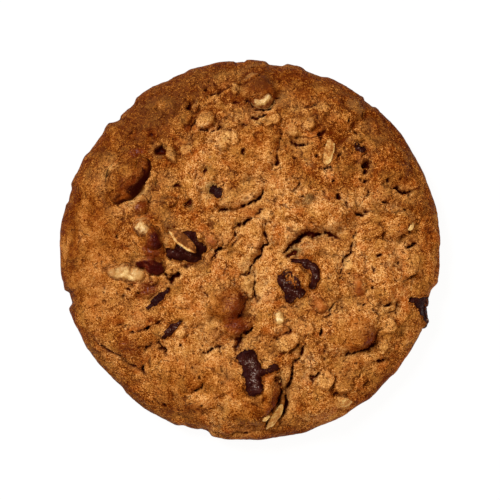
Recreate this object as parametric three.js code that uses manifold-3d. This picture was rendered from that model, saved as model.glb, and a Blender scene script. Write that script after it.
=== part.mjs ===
// An oatmeal chocolate chip cookie: a round, domed drop cookie with a craggy crust. Oat flakes are baked
// into the dough, and pieces of chocolate and walnut sit in pockets of it, with their tops showing.
// Millimetres, +Z up, origin at the middle of the flat base that the cookie rests on.

import * as THREE from "three";
import { mergeVertices } from "three/addons/utils/BufferGeometryUtils.js";
import Module from "manifold-3d";

const wasm = await Module();
wasm.setup();

// Driving dimensions
const DIAMETER = 88;
const THICKNESS = 14.6; // smooth crown above the base, before lumps
const BELLY_HEIGHT = 3.2; // level where the side is widest
const FOOT_INSET = 1.5; // how far the edge of the base lies inside the side
const CROWN_FLATNESS = 0.64; // 0 is a cone, 1 is a flat top
const SHOULDER = 0.8; // 0 is a sloping rim, 1 is an upright one
const FIT_GAP = 0.3; // between a chocolate or walnut piece and its pocket

// Crust relief
const CLUMP = { spacing: 6.4, jitter: 0.38, rise: 0.9 };
const FLAKE = { count: 46, length: 8.2, width: 5.6, thickness: 0.65, clear: 7.6, seed: 11 };
const WOBBLE = [
  { waves: 3, size: 0.05, phase: 0.4 },
  { waves: 7, size: 0.05, phase: 2.1 },
  { waves: 13, size: 0.05, phase: 4.4 },
  { waves: 29, size: 0.07, phase: 1.3 },
];
const FOOT_FADE = 0.84; // share of the way to the foot where relief starts to die out

// Fineness of the faceted surface
const CRUST_GRID = 60;
const BASE_HUB_SIDES = 16;
const BASE_HUB_RADIUS = 0.86; // share of the base

// Places on the top are given in plan, in units of a drawing whose cookie is 380 units across.
const PLAN = { centre: 250, diameter: 380 };
const UNIT = DIAMETER / PLAN.diameter;

const COLOURS = {
  dough: "#b4733a",
  chocolate: "#33191a",
  nutmeat: "#e3c78d",
  toasted: "#a5622a",
  skin: "#5b2417",
};

// Swellings of the crust: place, half length and half width in plan units, turn in degrees, rise in mm
const LUMPS = [
  { at: [128, 180], half: [33, 19], turn: 51, rise: 2.4 },
  { at: [150, 240], half: [20, 28], turn: 10, rise: 1.6 },
  { at: [226, 302], half: [24, 20], turn: 20, rise: 2.6 },
  { at: [236, 325], half: [21, 12], turn: 0, rise: 1.6 },
  { at: [250, 398], half: [34, 34], turn: 0, rise: 2.4 },
  { at: [268, 388], half: [15, 26], turn: 0, rise: 1.0 },
  { at: [348, 331], half: [32, 23], turn: 20, rise: 1.8 },
  { at: [360, 333], half: [14, 16], turn: 0, rise: 1.0 },
  { at: [322, 215], half: [38, 22], turn: 15, rise: 2.1 },
  { at: [392, 222], half: [22, 18], turn: 0, rise: 1.6 },
  { at: [258, 92], half: [24, 17], turn: 20, rise: 1.8 },
  { at: [250, 150], half: [34, 28], turn: 0, rise: 1.2 },
  { at: [344, 110], half: [24, 21], turn: 0, rise: 1.3 },
  { at: [392, 162], half: [22, 26], turn: 0, rise: 1.2 },
  { at: [104, 252], half: [38, 48], turn: 0, rise: 0.5 },
  { at: [190, 300], half: [38, 28], turn: 30, rise: 1.4 },
  { at: [200, 386], half: [30, 28], turn: 0, rise: 1.3 },
  { at: [386, 286], half: [22, 24], turn: 0, rise: 1.5 },
  { at: [316, 402], half: [28, 24], turn: 0, rise: 1.2 },
  { at: [249, 244], half: [28, 15], turn: 55, rise: 1.2 },
  { at: [243, 196], half: [26, 13], turn: 34, rise: 0.8 },
  { at: [116, 336], half: [30, 28], turn: 0, rise: 1.0 },
  { at: [302, 254], half: [20, 12], turn: 20, rise: 0.8 },
  { at: [205, 122], half: [20, 14], turn: 60, rise: 0.6 },
];

// Open cracks and hollows: route in plan, half width and depth in mm
const CRACKS = [
  { route: [[266, 176], [265, 192], [254, 205], [238, 207]], halfWidth: 1.5, depth: 1.1 },
  { route: [[262, 209], [246, 222], [236, 228], [233, 247]], halfWidth: 1.7, depth: 1.4 },
  { route: [[268, 222], [267, 244], [252, 268], [236, 284]], halfWidth: 1.6, depth: 1.3 },
  { route: [[252, 268], [254, 290], [258, 304]], halfWidth: 1.5, depth: 1.1 },
  { route: [[226, 245], [215, 254], [208, 263]], halfWidth: 1.6, depth: 1.2 },
  { route: [[282, 250], [300, 239], [314, 234], [334, 239]], halfWidth: 1.9, depth: 1.8 },
  { route: [[340, 196], [348, 211], [366, 214], [384, 205]], halfWidth: 1.5, depth: 1.0 },
  { route: [[355, 228], [350, 254], [341, 268]], halfWidth: 1.5, depth: 1.2 },
  { route: [[170, 287], [173, 280], [181, 267]], halfWidth: 1.8, depth: 1.7 },
  { route: [[294, 352], [289, 380], [283, 410], [277, 427]], halfWidth: 1.7, depth: 1.5 },
  { route: [[374, 326], [373, 341], [362, 349], [340, 357]], halfWidth: 1.6, depth: 1.4 },
  { route: [[240, 287], [247, 302], [240, 315], [230, 318]], halfWidth: 1.6, depth: 1.2 },
  { route: [[216, 331], [235, 336], [251, 330], [254, 321]], halfWidth: 1.7, depth: 1.4 },
  { route: [[246, 104], [264, 111], [278, 97]], halfWidth: 1.6, depth: 1.2 },
  { route: [[233, 87], [208, 99]], halfWidth: 1.5, depth: 1.0 },
  { route: [[388, 189], [412, 192]], halfWidth: 1.5, depth: 1.2 },
  { route: [[334, 304], [322, 322]], halfWidth: 1.5, depth: 1.0 },
];

// Bites missing from the round outline: direction and half angle in degrees, depth in mm
const NOTCHES = [
  { direction: -16, halfAngle: 6.5, depth: 1.1 },
  { direction: 51, halfAngle: 2.5, depth: 0.5 },
  { direction: 70, halfAngle: 4.5, depth: 0.6 },
  { direction: 82, halfAngle: 3.5, depth: 0.7 },
  { direction: 93, halfAngle: 2.2, depth: 0.4 },
  { direction: 113, halfAngle: 5, depth: 0.4 },
  { direction: 132, halfAngle: 6, depth: 0.8 },
  { direction: 136, halfAngle: 2.2, depth: 0.5 },
  { direction: 145, halfAngle: 6, depth: 0.5 },
  { direction: 163, halfAngle: 3.5, depth: 0.5 },
  { direction: 195, halfAngle: 3, depth: 1.0 },
  { direction: 223, halfAngle: 4.5, depth: 0.6 },
  { direction: 253, halfAngle: 6, depth: 0.7 },
  { direction: 256, halfAngle: 2.4, depth: 0.3 },
];

// Pieces in the dough: place in plan, length, width and depth in mm, turn in degrees, and how far the
// middle lies below the crust. A bay is a share of the piece that dough fills, a lobe grows from its side.
const CHOCOLATE = [
  {
    name: "chocolate_1", at: [297, 279], size: [9.2, 9.6, 6], turn: 8, sink: 1.9,
    bay: { at: [0.5, 0.6, 2.7], size: [3.4, 11, 4.2], turn: 48 },
  },
  {
    name: "chocolate_2", at: [251, 370], size: [5.6, 10.6, 5.6], turn: 14, sink: 1.9,
    lobe: { at: [3.4, 0.2, 0.6], size: [5.2, 2.6, 3], turn: 0 },
  },
  { name: "chocolate_3", at: [184, 246], size: [8.6, 7, 5.4], turn: -8, sink: 1.8 },
  { name: "chocolate_4", at: [420, 309], size: [4.4, 8.2, 7.2], turn: -18, sink: 1.5 },
  { name: "chocolate_5", at: [215, 191], size: [3.6, 3.6, 3.4], turn: 0, sink: 1.3 },
  { name: "chocolate_6", at: [173, 328], size: [5.2, 2.2, 3], turn: 45, sink: 1.0 },
  { name: "chocolate_7", at: [358, 150], size: [3.4, 2.4, 2.8], turn: -25, sink: 1.0 },
  { name: "chocolate_8", at: [157, 298], size: [4.9, 1.9, 3], turn: 36, sink: 1.0 },
];
const WALNUT = [
  { name: "walnut_1", at: [127, 273], size: [7, 4.4, 4.2], turn: 4, sink: 1.0, colour: "nutmeat" },
  { name: "walnut_2", at: [132, 183], size: [11.6, 5, 5.4], turn: 52, sink: 2.3, colour: "skin" },
  { name: "walnut_3", at: [263, 102], size: [3.8, 2.2, 2.6], turn: 32, sink: 0.7, colour: "nutmeat" },
  { name: "walnut_4", at: [145, 226], size: [3, 3, 3], turn: 0, sink: 0.9, colour: "nutmeat" },
  { name: "walnut_5", at: [155, 265], size: [4.4, 4.8, 4.2], turn: 0, sink: 1.0, colour: "skin" },
  { name: "walnut_6", at: [157, 241], size: [3.8, 4.6, 4], turn: -30, sink: 1.1, colour: "skin" },
  { name: "walnut_7", at: [278, 317], size: [2.8, 3.8, 2.8], turn: 0, sink: 0.9, colour: "nutmeat" },
  { name: "walnut_8", at: [319, 306], size: [4.4, 3.2, 3.4], turn: 25, sink: 1.0, colour: "toasted" },
  { name: "walnut_9", at: [355, 285], size: [3.4, 5.4, 4], turn: -12, sink: 1.0, colour: "toasted" },
  { name: "walnut_10", at: [212, 239], size: [2.8, 3.4, 3], turn: 0, sink: 0.9, colour: "toasted" },
];
const FINE_PIECE_LENGTH = 5; // pieces at least this long get the finer faceting
const PIECE_DETAIL = { coarse: 1, fine: 2 };
const PIECE_CHUNKINESS = 0.8; // 1 is an ellipsoid, less is squarer
const PIECE_DENTS = 0.07; // share of the radius

// A repeatable stream of numbers from 0 to 1
function seededRandom(seed) {
  let state = seed;
  return () => {
    state = (Math.imul(state, 1664525) + 1013904223) >>> 0;
    return state / 2 ** 32;
  };
}

// A number from 0 to 1 that belongs to one cell of a grid
function cellRandom(column, row, salt) {
  const mixed = Math.sin(column * 127.1 + row * 311.7 + salt * 74.7) * 43758.5453;
  return mixed - Math.floor(mixed);
}

// The side view from the middle of the crown, over the rim, to the edge of the base
const profile = new THREE.CurvePath();
const rimRadius = DIAMETER / 2;
profile.add(
  new THREE.CubicBezierCurve(
    new THREE.Vector2(0, THICKNESS),
    new THREE.Vector2(rimRadius * CROWN_FLATNESS, THICKNESS),
    new THREE.Vector2(rimRadius, BELLY_HEIGHT + (THICKNESS - BELLY_HEIGHT) * SHOULDER),
    new THREE.Vector2(rimRadius, BELLY_HEIGHT),
  ),
);
profile.add(
  new THREE.CubicBezierCurve(
    new THREE.Vector2(rimRadius, BELLY_HEIGHT),
    new THREE.Vector2(rimRadius, BELLY_HEIGHT * 0.4),
    new THREE.Vector2(rimRadius - FOOT_INSET * 0.5, 0),
    new THREE.Vector2(rimRadius - FOOT_INSET, 0),
  ),
);
const crustLength = profile.getLength();

// How far along the crust, from the crown, the smooth top reaches a radius
function crustAtRadius(radius) {
  let low = 0;
  let high = profile.getCurveLengths()[0] / crustLength;
  for (let i = 0; i < 24; i++) {
    const middle = (low + high) / 2;
    if (profile.getPoint(middle).x < radius) low = middle;
    else high = middle;
  }
  return low * crustLength;
}

// The crust is laid out flat as a map: distance from the crown along the surface, and direction.
function onMap([planX, planY]) {
  const place = new THREE.Vector2(planX - PLAN.centre, PLAN.centre - planY).multiplyScalar(UNIT);
  return place.setLength(crustAtRadius(place.length()));
}

// A distance that is 1 on the edge of a turned ellipse
function ellipseDistance(point, { centre, half, turn }) {
  const angle = THREE.MathUtils.degToRad(turn);
  const x = point.x - centre.x;
  const y = point.y - centre.y;
  const along = x * Math.cos(angle) + y * Math.sin(angle);
  const across = y * Math.cos(angle) - x * Math.sin(angle);
  return Math.hypot(along / half[0], across / half[1]);
}

function routeDistance(point, route) {
  let nearest = Infinity;
  for (let i = 1; i < route.length; i++) {
    const run = route[i].clone().sub(route[i - 1]);
    const share = point.clone().sub(route[i - 1]).dot(run) / run.lengthSq();
    const foot = route[i - 1].clone().addScaledVector(run, THREE.MathUtils.clamp(share, 0, 1));
    nearest = Math.min(nearest, foot.distanceTo(point));
  }
  return nearest;
}

// Oat flakes, spread over the crust so that no two lie closer than their clear distance
function scatterFlakes() {
  const random = seededRandom(FLAKE.seed);
  const flakes = [];
  while (flakes.length < FLAKE.count) {
    const distance = crustLength * 0.88 * Math.sqrt(random());
    const direction = 2 * Math.PI * random();
    const centre = new THREE.Vector2(Math.cos(direction), Math.sin(direction)).multiplyScalar(distance);
    const turn = 360 * random();
    const scale = 0.75 + 0.45 * random();
    if (flakes.some((flake) => flake.centre.distanceTo(centre) < FLAKE.clear)) continue;
    flakes.push({ centre, turn, half: [FLAKE.length * scale * 0.5, FLAKE.width * scale * 0.5] });
  }
  return flakes;
}

const lumps = LUMPS.map((lump) => ({
  ...lump,
  centre: onMap(lump.at),
  half: lump.half.map((units) => units * UNIT),
}));
const cracks = CRACKS.map((crack) => ({ ...crack, route: crack.route.map(onMap) }));
const flakes = scatterFlakes();

// Rounded clumps of dough, packed side by side: 0 in the creases between them, 1 on their tops
function clumpHeight(point) {
  const column = Math.floor(point.x / CLUMP.spacing);
  const row = Math.floor(point.y / CLUMP.spacing);
  let nearest = Infinity;
  for (let c = column - 1; c <= column + 1; c++) {
    for (let r = row - 1; r <= row + 1; r++) {
      const x = (c + 0.5 + CLUMP.jitter * (2 * cellRandom(c, r, 1) - 1)) * CLUMP.spacing;
      const y = (r + 0.5 + CLUMP.jitter * (2 * cellRandom(c, r, 2) - 1)) * CLUMP.spacing;
      nearest = Math.min(nearest, Math.hypot(point.x - x, point.y - y));
    }
  }
  return Math.max(0, 1 - (nearest / CLUMP.spacing) ** 2);
}

// Height of the craggy crust above the smooth one, at a place on the map
function relief(point) {
  const { smoothstep } = THREE.MathUtils;
  let height = CLUMP.rise * (clumpHeight(point) - 0.5);
  for (const lump of lumps) {
    height += lump.rise * (1 - smoothstep(ellipseDistance(point, lump), 0.4, 1));
  }
  for (const flake of flakes) {
    height += FLAKE.thickness * (1 - smoothstep(ellipseDistance(point, flake), 0.75, 1.1));
  }
  for (const crack of cracks) {
    height -= crack.depth * Math.max(0, 1 - routeDistance(point, crack.route) / crack.halfWidth);
  }
  return height * (1 - smoothstep(point.length() / crustLength, FOOT_FADE, 1));
}

// How far the outline stands out of a true circle in a direction
function outline(angle) {
  let reach = 0;
  for (const { waves, size, phase } of WOBBLE) reach += size * Math.sin(waves * angle + phase);
  for (const { direction, halfAngle, depth } of NOTCHES) {
    const turn = THREE.MathUtils.radToDeg(angle) - direction;
    const apart = Math.abs(THREE.MathUtils.euclideanModulo(turn + 180, 360) - 180);
    reach -= depth * (1 - THREE.MathUtils.smoothstep(apart / halfAngle, 0.5, 1));
  }
  return reach;
}

// The point of the crust at a place on the map, and the way out of the dough there
function crustPoint(place) {
  const share = Math.min(1, place.length() / crustLength);
  const angle = Math.atan2(place.y, place.x);
  const { x: radius, y: level } = profile.getPoint(share);
  const tangent = profile.getTangent(share);
  const grown = radius + outline(angle) * THREE.MathUtils.smoothstep(share, 0.5, 0.85);
  const across = new THREE.Vector3(Math.cos(angle), Math.sin(angle), 0);
  const out = across.clone().multiplyScalar(-tangent.y).setZ(tangent.x).normalize();
  const point = across.multiplyScalar(grown).setZ(level).addScaledVector(out, relief(place));
  return { point, out };
}

// A square grid bent into a disc, so that the crust's facets are all about the same size
function gridOnMap(column, row) {
  const a = (2 * column) / CRUST_GRID - 1;
  const b = (2 * row) / CRUST_GRID - 1;
  if (a === 0 && b === 0) return new THREE.Vector2();
  const wide = Math.abs(a) > Math.abs(b);
  const angle = wide ? (Math.PI / 4) * (b / a) : Math.PI / 2 - (Math.PI / 4) * (a / b);
  const distance = (wide ? a : b) * crustLength;
  return new THREE.Vector2(Math.cos(angle), Math.sin(angle)).multiplyScalar(distance);
}

// The grid's outer points, counter-clockwise from its first corner
function rimIndices() {
  const side = CRUST_GRID + 1;
  const rim = [];
  for (let i = 0; i < CRUST_GRID; i++) rim.push(i);
  for (let i = 0; i < CRUST_GRID; i++) rim.push(i * side + CRUST_GRID);
  for (let i = CRUST_GRID; i > 0; i--) rim.push(CRUST_GRID * side + i);
  for (let i = CRUST_GRID; i > 0; i--) rim.push(i * side);
  return rim;
}

// The dough before the pockets are cut: the crust over a flat base
function doughGeometry() {
  const side = CRUST_GRID + 1;
  const points = [];
  const faces = [];
  for (let row = 0; row < side; row++) {
    for (let column = 0; column < side; column++) points.push(crustPoint(gridOnMap(column, row)).point);
  }
  for (let row = 0; row < CRUST_GRID; row++) {
    for (let column = 0; column < CRUST_GRID; column++) {
      const first = row * side + column;
      const [right, above, opposite] = [first + 1, first + side, first + side + 1];
      const rising = (column < CRUST_GRID / 2) === (row < CRUST_GRID / 2);
      if (rising) faces.push(first, right, opposite, first, opposite, above);
      else faces.push(first, right, above, right, opposite, above);
    }
  }
  const rim = rimIndices();
  const hub = points.length;
  const hubStep = rim.length / BASE_HUB_SIDES;
  for (let i = 0; i < BASE_HUB_SIDES; i++) {
    points.push(points[rim[i * hubStep]].clone().multiplyScalar(BASE_HUB_RADIUS).setZ(0));
  }
  for (let i = 0; i < rim.length; i++) {
    const inner = hub + Math.floor(i / hubStep);
    const next = rim[(i + 1) % rim.length];
    faces.push(rim[i], inner, next);
    if ((i + 1) % hubStep === 0) faces.push(inner, hub + (((i + 1) / hubStep) % BASE_HUB_SIDES), next);
  }
  for (let i = 2; i < BASE_HUB_SIDES; i++) faces.push(hub, hub + i, hub + i - 1);
  return new THREE.BufferGeometry().setFromPoints(points).setIndex(faces);
}

// A chunky lump with a few dents, of the given length, width and depth
function chunkGeometry(size, seed) {
  const detail = Math.max(...size) < FINE_PIECE_LENGTH ? PIECE_DETAIL.coarse : PIECE_DETAIL.fine;
  const chunk = new THREE.IcosahedronGeometry(1, detail);
  chunk.deleteAttribute("normal");
  chunk.deleteAttribute("uv");
  const merged = mergeVertices(chunk);
  const position = merged.getAttribute("position");
  for (let i = 0; i < position.count; i++) {
    const way = new THREE.Vector3().fromBufferAttribute(position, i);
    const dent = 1 + PIECE_DENTS * Math.sin(3 * way.x + seed) * Math.cos(4 * way.y - 2 * seed + way.z);
    const [x, y, z] = way.toArray().map((share, axis) => {
      return 0.5 * size[axis] * dent * Math.sign(share) * Math.abs(share) ** PIECE_CHUNKINESS;
    });
    position.setXYZ(i, x, y, z);
  }
  return merged;
}

function solidOf(geometry) {
  const vertProperties = new Float32Array(geometry.getAttribute("position").array);
  const triVerts = new Uint32Array(geometry.index.array);
  return new wasm.Manifold(new wasm.Mesh({ numProp: 3, vertProperties, triVerts }));
}

function geometryOf(solid) {
  const { numVert, numProp, vertProperties, triVerts } = solid.getMesh();
  const position = new Float32Array(numVert * 3);
  for (let i = 0; i < numVert; i++) {
    position.set(vertProperties.subarray(i * numProp, i * numProp + 3), i * 3);
  }
  const geometry = new THREE.BufferGeometry();
  geometry.setAttribute("position", new THREE.BufferAttribute(position, 3));
  return geometry.setIndex(new THREE.BufferAttribute(new Uint32Array(triVerts), 1));
}

// A piece in its own frame, its lobe added and its bay taken out. Its pocket is the same, grown by the gap.
function pieceGeometry({ size, lobe, bay }, seed, grow = 0) {
  const chunk = (form, by, salt) => {
    const lengths = form.size.map((length) => length + 2 * by);
    const geometry = chunkGeometry(lengths, seed + salt);
    return solidOf(geometry.rotateZ(THREE.MathUtils.degToRad(form.turn)).translate(...form.at));
  };
  let solid = chunk({ size, turn: 0, at: [0, 0, 0] }, grow, 0);
  if (lobe) solid = solid.add(chunk(lobe, grow, 1));
  if (bay) solid = solid.subtract(chunk(bay, -grow, 2));
  return geometryOf(solid);
}

// Stands a piece on the crust, leaning with the slope there
function seat(piece, { at, turn, sink }) {
  const { point, out } = crustPoint(onMap(at));
  piece.position.copy(point).addScaledVector(out, -sink);
  piece.quaternion.setFromUnitVectors(new THREE.Vector3(0, 0, 1), out);
  piece.rotateZ(THREE.MathUtils.degToRad(turn));
  piece.updateMatrixWorld();
}

function crumbMaterial(colour, roughness) {
  return new THREE.MeshStandardMaterial({ color: COLOURS[colour], roughness, metalness: 0 });
}

// The whole cookie
const cookie = new THREE.Group();
let dough = solidOf(doughGeometry());
[...CHOCOLATE, ...WALNUT].forEach((form, index) => {
  const material = form.colour ? crumbMaterial(form.colour, 0.6) : crumbMaterial("chocolate", 0.42);
  const piece = new THREE.Mesh(pieceGeometry(form, index), material);
  piece.name = form.name;
  seat(piece, form);
  const pocket = pieceGeometry(form, index, FIT_GAP).applyMatrix4(piece.matrixWorld);
  dough = dough.subtract(solidOf(pocket));
  cookie.add(piece);
});
const body = new THREE.Mesh(geometryOf(dough), crumbMaterial("dough", 0.9));
body.name = "dough";
cookie.add(body);

export default cookie;
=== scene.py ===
import math

import bpy
import numpy as np
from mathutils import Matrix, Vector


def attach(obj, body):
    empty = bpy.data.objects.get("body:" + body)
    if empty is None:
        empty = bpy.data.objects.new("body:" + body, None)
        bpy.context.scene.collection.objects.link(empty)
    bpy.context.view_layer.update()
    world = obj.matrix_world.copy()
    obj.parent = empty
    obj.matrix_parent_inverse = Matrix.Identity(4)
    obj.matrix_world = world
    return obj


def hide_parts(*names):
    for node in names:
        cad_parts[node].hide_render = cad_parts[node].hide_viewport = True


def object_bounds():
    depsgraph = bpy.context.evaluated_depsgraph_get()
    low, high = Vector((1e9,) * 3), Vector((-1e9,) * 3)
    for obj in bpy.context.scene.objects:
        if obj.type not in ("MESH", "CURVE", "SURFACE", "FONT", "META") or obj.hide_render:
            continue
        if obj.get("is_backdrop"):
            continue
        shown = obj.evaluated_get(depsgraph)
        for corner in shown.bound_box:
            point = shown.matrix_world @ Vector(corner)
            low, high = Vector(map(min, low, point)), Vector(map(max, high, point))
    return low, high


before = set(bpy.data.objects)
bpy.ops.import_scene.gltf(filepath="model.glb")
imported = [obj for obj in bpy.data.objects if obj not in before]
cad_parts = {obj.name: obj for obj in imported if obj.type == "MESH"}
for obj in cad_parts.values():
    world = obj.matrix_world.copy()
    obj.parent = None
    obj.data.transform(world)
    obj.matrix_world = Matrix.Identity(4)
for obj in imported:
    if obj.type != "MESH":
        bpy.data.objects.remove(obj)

# An oatmeal chocolate chip cookie, seen from straight above. Lengths are millimetres until a mesh is made.
# The crust is laid out flat as a map: distance from the crown along the surface, and direction.
# All its relief and colour is worked out on that map, and then wrapped over the smooth domed shape.

START_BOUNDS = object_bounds()
METRE = 0.001

# Smooth shape
RIM_RADIUS = 44.0
THICKNESS = 14.6
BELLY_HEIGHT = 3.2
FOOT_INSET = 1.5
FOOT_BULGE = 0.4
FOOT_TUCK = 0.5
CROWN_FLATNESS = 0.64
SHOULDER = 0.8
PROFILE_STEPS = {"crown": 600, "foot": 100}

# Waves of the outline: number round the cookie, size, phase
WOBBLE = ((3, 0.05, 0.4), (7, 0.05, 2.1), (13, 0.05, 4.4), (29, 0.07, 1.3))

# Shares of the way to the foot: where the uneven outline sets in and is full, and where relief dies out
OUTLINE_SPAN = (0.5, 0.85)
FOOT_FADE = 0.86

# Dents of the outline: direction, half angle, depth, and the share of the half angle that is full depth
NOTCH_FLOOR = 0.5
NOTCHES = (
    (-16, 6.5, 1.1),
    (51, 2.5, 0.5),
    (70, 4.5, 0.6),
    (82, 3.5, 0.7),
    (93, 2.2, 0.4),
    (113, 5.0, 0.4),
    (132, 6.0, 0.8),
    (136, 2.2, 0.5),
    (145, 6.0, 0.5),
    (163, 3.5, 0.5),
    (195, 3.0, 1.0),
    (223, 7.0, 0.4),
    (253, 6.0, 0.7),
    (256, 2.4, 0.3),
)

# Places on the top are given in plan, in units of a drawing whose cookie is 380 units across.
PLAN_CENTRE = 250.0
UNIT = 2 * RIM_RADIUS / 380

# Fineness
MAP_STEP = 0.12
CRUST_GRID = 304
BASE_GRID = 76

# How much of the map around a feature is worked on, and the half lengths after which a lean stops growing
STAMP_MARGIN = 2
CRACK_MARGIN = 4
LEANING_REACH = 1.3
LEANING_MOST = 1.2

# Swellings and dips: place, half length and half width in plan units, turn in degrees, rise
MOUNDS = (
    ((128, 180), (33, 19), 51, 2.6),
    ((150, 240), (20, 28), 10, 1.8),
    ((226, 302), (24, 20), 20, 2.8),
    ((236, 325), (21, 12), 0, 1.8),
    ((250, 398), (34, 34), 0, 2.6),
    ((268, 388), (15, 26), 0, 1.1),
    ((348, 331), (32, 23), 20, 2.0),
    ((360, 333), (14, 16), 0, 1.2),
    ((322, 215), (38, 22), 15, 2.3),
    ((392, 222), (22, 18), 0, 1.8),
    ((258, 92), (24, 17), 20, 2.0),
    ((250, 150), (34, 28), 0, 1.3),
    ((344, 110), (24, 21), 0, 1.5),
    ((392, 162), (22, 26), 0, 1.3),
    ((104, 252), (38, 48), 0, 0.6),
    ((190, 300), (38, 28), 30, 1.5),
    ((200, 386), (30, 28), 0, 1.4),
    ((386, 286), (22, 24), 0, 1.7),
    ((316, 402), (28, 24), 0, 1.3),
    ((249, 244), (28, 15), 55, 1.3),
    ((116, 336), (30, 28), 0, 1.1),
    ((302, 254), (20, 12), 20, 1.0),
    ((301, 277), (15, 8.5), -56, 1.1),
    ((141, 208), (11, 8), 20, 1.2),
    ((291, 252), (10, 11), 40, -1.0),
    ((192, 264), (12, 5), 15, -1.2),
    ((278, 376), (7, 12), 0, -0.9),
)

# Where the dough spread smooth: place, half sizes in plan units, turn, share of the lumps that is lost
SMOOTHED = (
    ((88, 250), (54, 100), 0, 0.65),
    ((145, 115), (80, 40), 42, 0.5),
    ((192, 378), (52, 44), 0, 0.45),
    ((194, 305), (36, 30), 0, 0.4),
    ((250, 150), (45, 34), 0, 0.3),
    ((300, 85), (80, 26), -10, 0.4),
    ((228, 306), (28, 30), 0, 0.6),
    ((252, 396), (32, 32), 0, 0.5),
    ((354, 330), (30, 22), 20, 0.5),
    ((128, 180), (32, 20), 51, 0.5),
    ((258, 92), (24, 17), 20, 0.5),
    ((152, 235), (24, 50), 0, 0.6),
)

# Cracks: half width in plan units, depth, and route
CRACKS = (
    (3.5, 1.7, ((284, 251), (295, 242), (305, 236), (316, 233), (322, 234))),
    (1.3, 1.0, ((320, 232), (329, 236), (340, 241))),
    (1.5, 1.4, ((355, 230), (351, 243), (349, 252), (341, 262), (341, 275))),
    (1.5, 1.4, ((237, 281), (252, 268), (258, 258), (267, 243), (266, 222))),
    (1.3, 1.1, ((254, 270), (255, 280), (254, 292), (257, 303))),
    (2.6, 1.8, ((236, 227), (245, 222), (253, 218))),
    (1.1, 0.9, ((253, 217), (258, 213), (263, 209))),
    (1.2, 1.0, ((237, 228), (233, 248))),
    (1.8, 1.5, ((228, 243), (218, 250), (214, 256), (208, 263))),
    (1.5, 1.2, ((265, 183), (264, 194), (255, 203), (242, 207), (235, 205))),
    (1.2, 1.0, ((218, 212), (231, 208))),
    (1.1, 0.8, ((340, 200), (344, 205), (347, 212))),
    (1.5, 1.2, ((351, 212), (358, 214), (364, 213), (372, 212))),
    (1.0, 0.8, ((366, 189), (366, 195), (364, 200))),
    (1.4, 0.9, ((375, 207), (381, 205), (388, 203))),
    (2.3, 1.8, ((389, 189), (395, 189), (402, 192), (409, 193), (415, 190))),
    (1.6, 1.3, ((401, 246), (407, 246), (418, 243))),
    (1.2, 1.0, ((392, 211), (404, 212))),
    (1.5, 1.2, ((322, 320), (326, 314), (330, 308), (336, 302))),
    (1.0, 0.8, ((369, 307), (374, 311), (379, 312))),
    (1.5, 1.2, ((311, 381), (311, 375), (320, 369))),
    (1.4, 1.0, ((304, 344), (300, 354), (293, 362))),
    (1.1, 0.8, ((336, 357), (346, 354), (356, 350), (366, 348), (373, 341), (374, 326))),
    (1.2, 0.6, ((240, 287), (246, 297), (246, 307), (240, 315), (230, 318))),
    (1.5, 1.1, ((230, 333), (242, 334), (250, 330), (253, 322))),
    (1.7, 1.4, ((279, 370), (282, 384), (279, 398), (271, 408), (260, 413))),
    (1.5, 1.2, ((200, 347), (206, 350), (213, 349), (223, 345))),
    (1.5, 1.2, ((160, 338), (162, 346), (166, 351), (171, 356))),
    (1.6, 1.3, ((152, 340), (149, 345), (147, 352))),
    (1.8, 1.4, ((143, 363), (142, 369), (146, 375))),
    (1.2, 0.9, ((151, 356), (150, 363))),
    (0.9, 0.8, ((174, 391), (174, 403))),
    (1.3, 1.0, ((203, 380), (199, 386), (193, 390))),
    (0.9, 0.7, ((193, 365), (199, 370))),
    (2.2, 0.8, ((244, 331), (239, 340), (237, 352))),
    (1.6, 1.3, ((208, 100), (215, 96), (222, 93), (232, 86))),
    (1.3, 1.0, ((200, 132), (210, 131))),
    (1.3, 1.0, ((213, 135), (220, 129), (229, 125))),
    (1.3, 1.0, ((239, 125), (245, 127), (252, 125))),
    (1.7, 1.3, ((250, 120), (257, 119), (266, 119))),
    (1.5, 1.2, ((288, 141), (294, 145), (303, 146), (310, 145))),
    (1.3, 0.9, ((279, 128), (280, 140), (277, 152), (277, 165), (270, 172))),
    (1.4, 1.1, ((189, 134), (193, 128), (197, 120))),
    (1.2, 0.9, ((130, 127), (129, 133), (126, 139))),
    (1.1, 0.8, ((303, 107), (310, 107), (319, 108))),
    (0.9, 0.7, ((290, 107), (298, 107))),
    (1.1, 0.7, ((308, 118), (315, 119), (321, 126))),
    (1.2, 0.9, ((318, 169), (327, 169), (334, 172))),
    (1.2, 0.9, ((119, 326), (129, 323))),
    (1.4, 1.0, ((137, 331), (148, 326), (167, 318))),
    (1.0, 0.7, ((99, 288), (107, 288))),
    (0.9, 0.6, ((117, 234), (122, 241))),
    (1.2, 1.1, ((124, 281), (130, 283), (137, 284))),
    (1.0, 0.9, ((127, 264), (133, 269), (139, 264))),
    (0.8, 0.6, ((203, 283), (208, 295))),
    (1.2, 0.9, ((280, 307), (301, 304))),
    (1.0, 0.7, ((323, 343), (322, 363))),
    (2.2, 1.7, ((166, 272), (172, 282), (181, 267))),
    (1.4, 1.1, ((293, 358), (291, 375), (287, 389))),
    (2.1, 1.6, ((287, 389), (285, 404), (279, 426))),
    (1.1, 0.9, ((294, 328), (283, 333), (271, 341))),
    (2.0, 1.4, ((243, 102), (252, 106), (259, 110), (267, 110), (272, 103), (278, 96))),
    (1.7, 1.2, ((204, 431), (230, 433), (256, 431))),
    (1.5, 1.3, ((149, 168), (148, 178), (143, 187), (136, 195), (123, 202))),
    (2.2, 0.8, ((88, 330), (100, 341), (108, 348), (119, 356), (132, 366), (142, 371))),
)
# How cracks narrow, end, break and open, and the painted shade laid into them
CRACK = {"narrowing": 0.8, "ends": (0.04, 0.96), "broken": 0.9, "opening": (0.35, 1.5), "painted_shade": 0.4}
CRACK_NOISE = ((0.5, 1.4, 28), (0.5, 0.7, 29))
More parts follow.
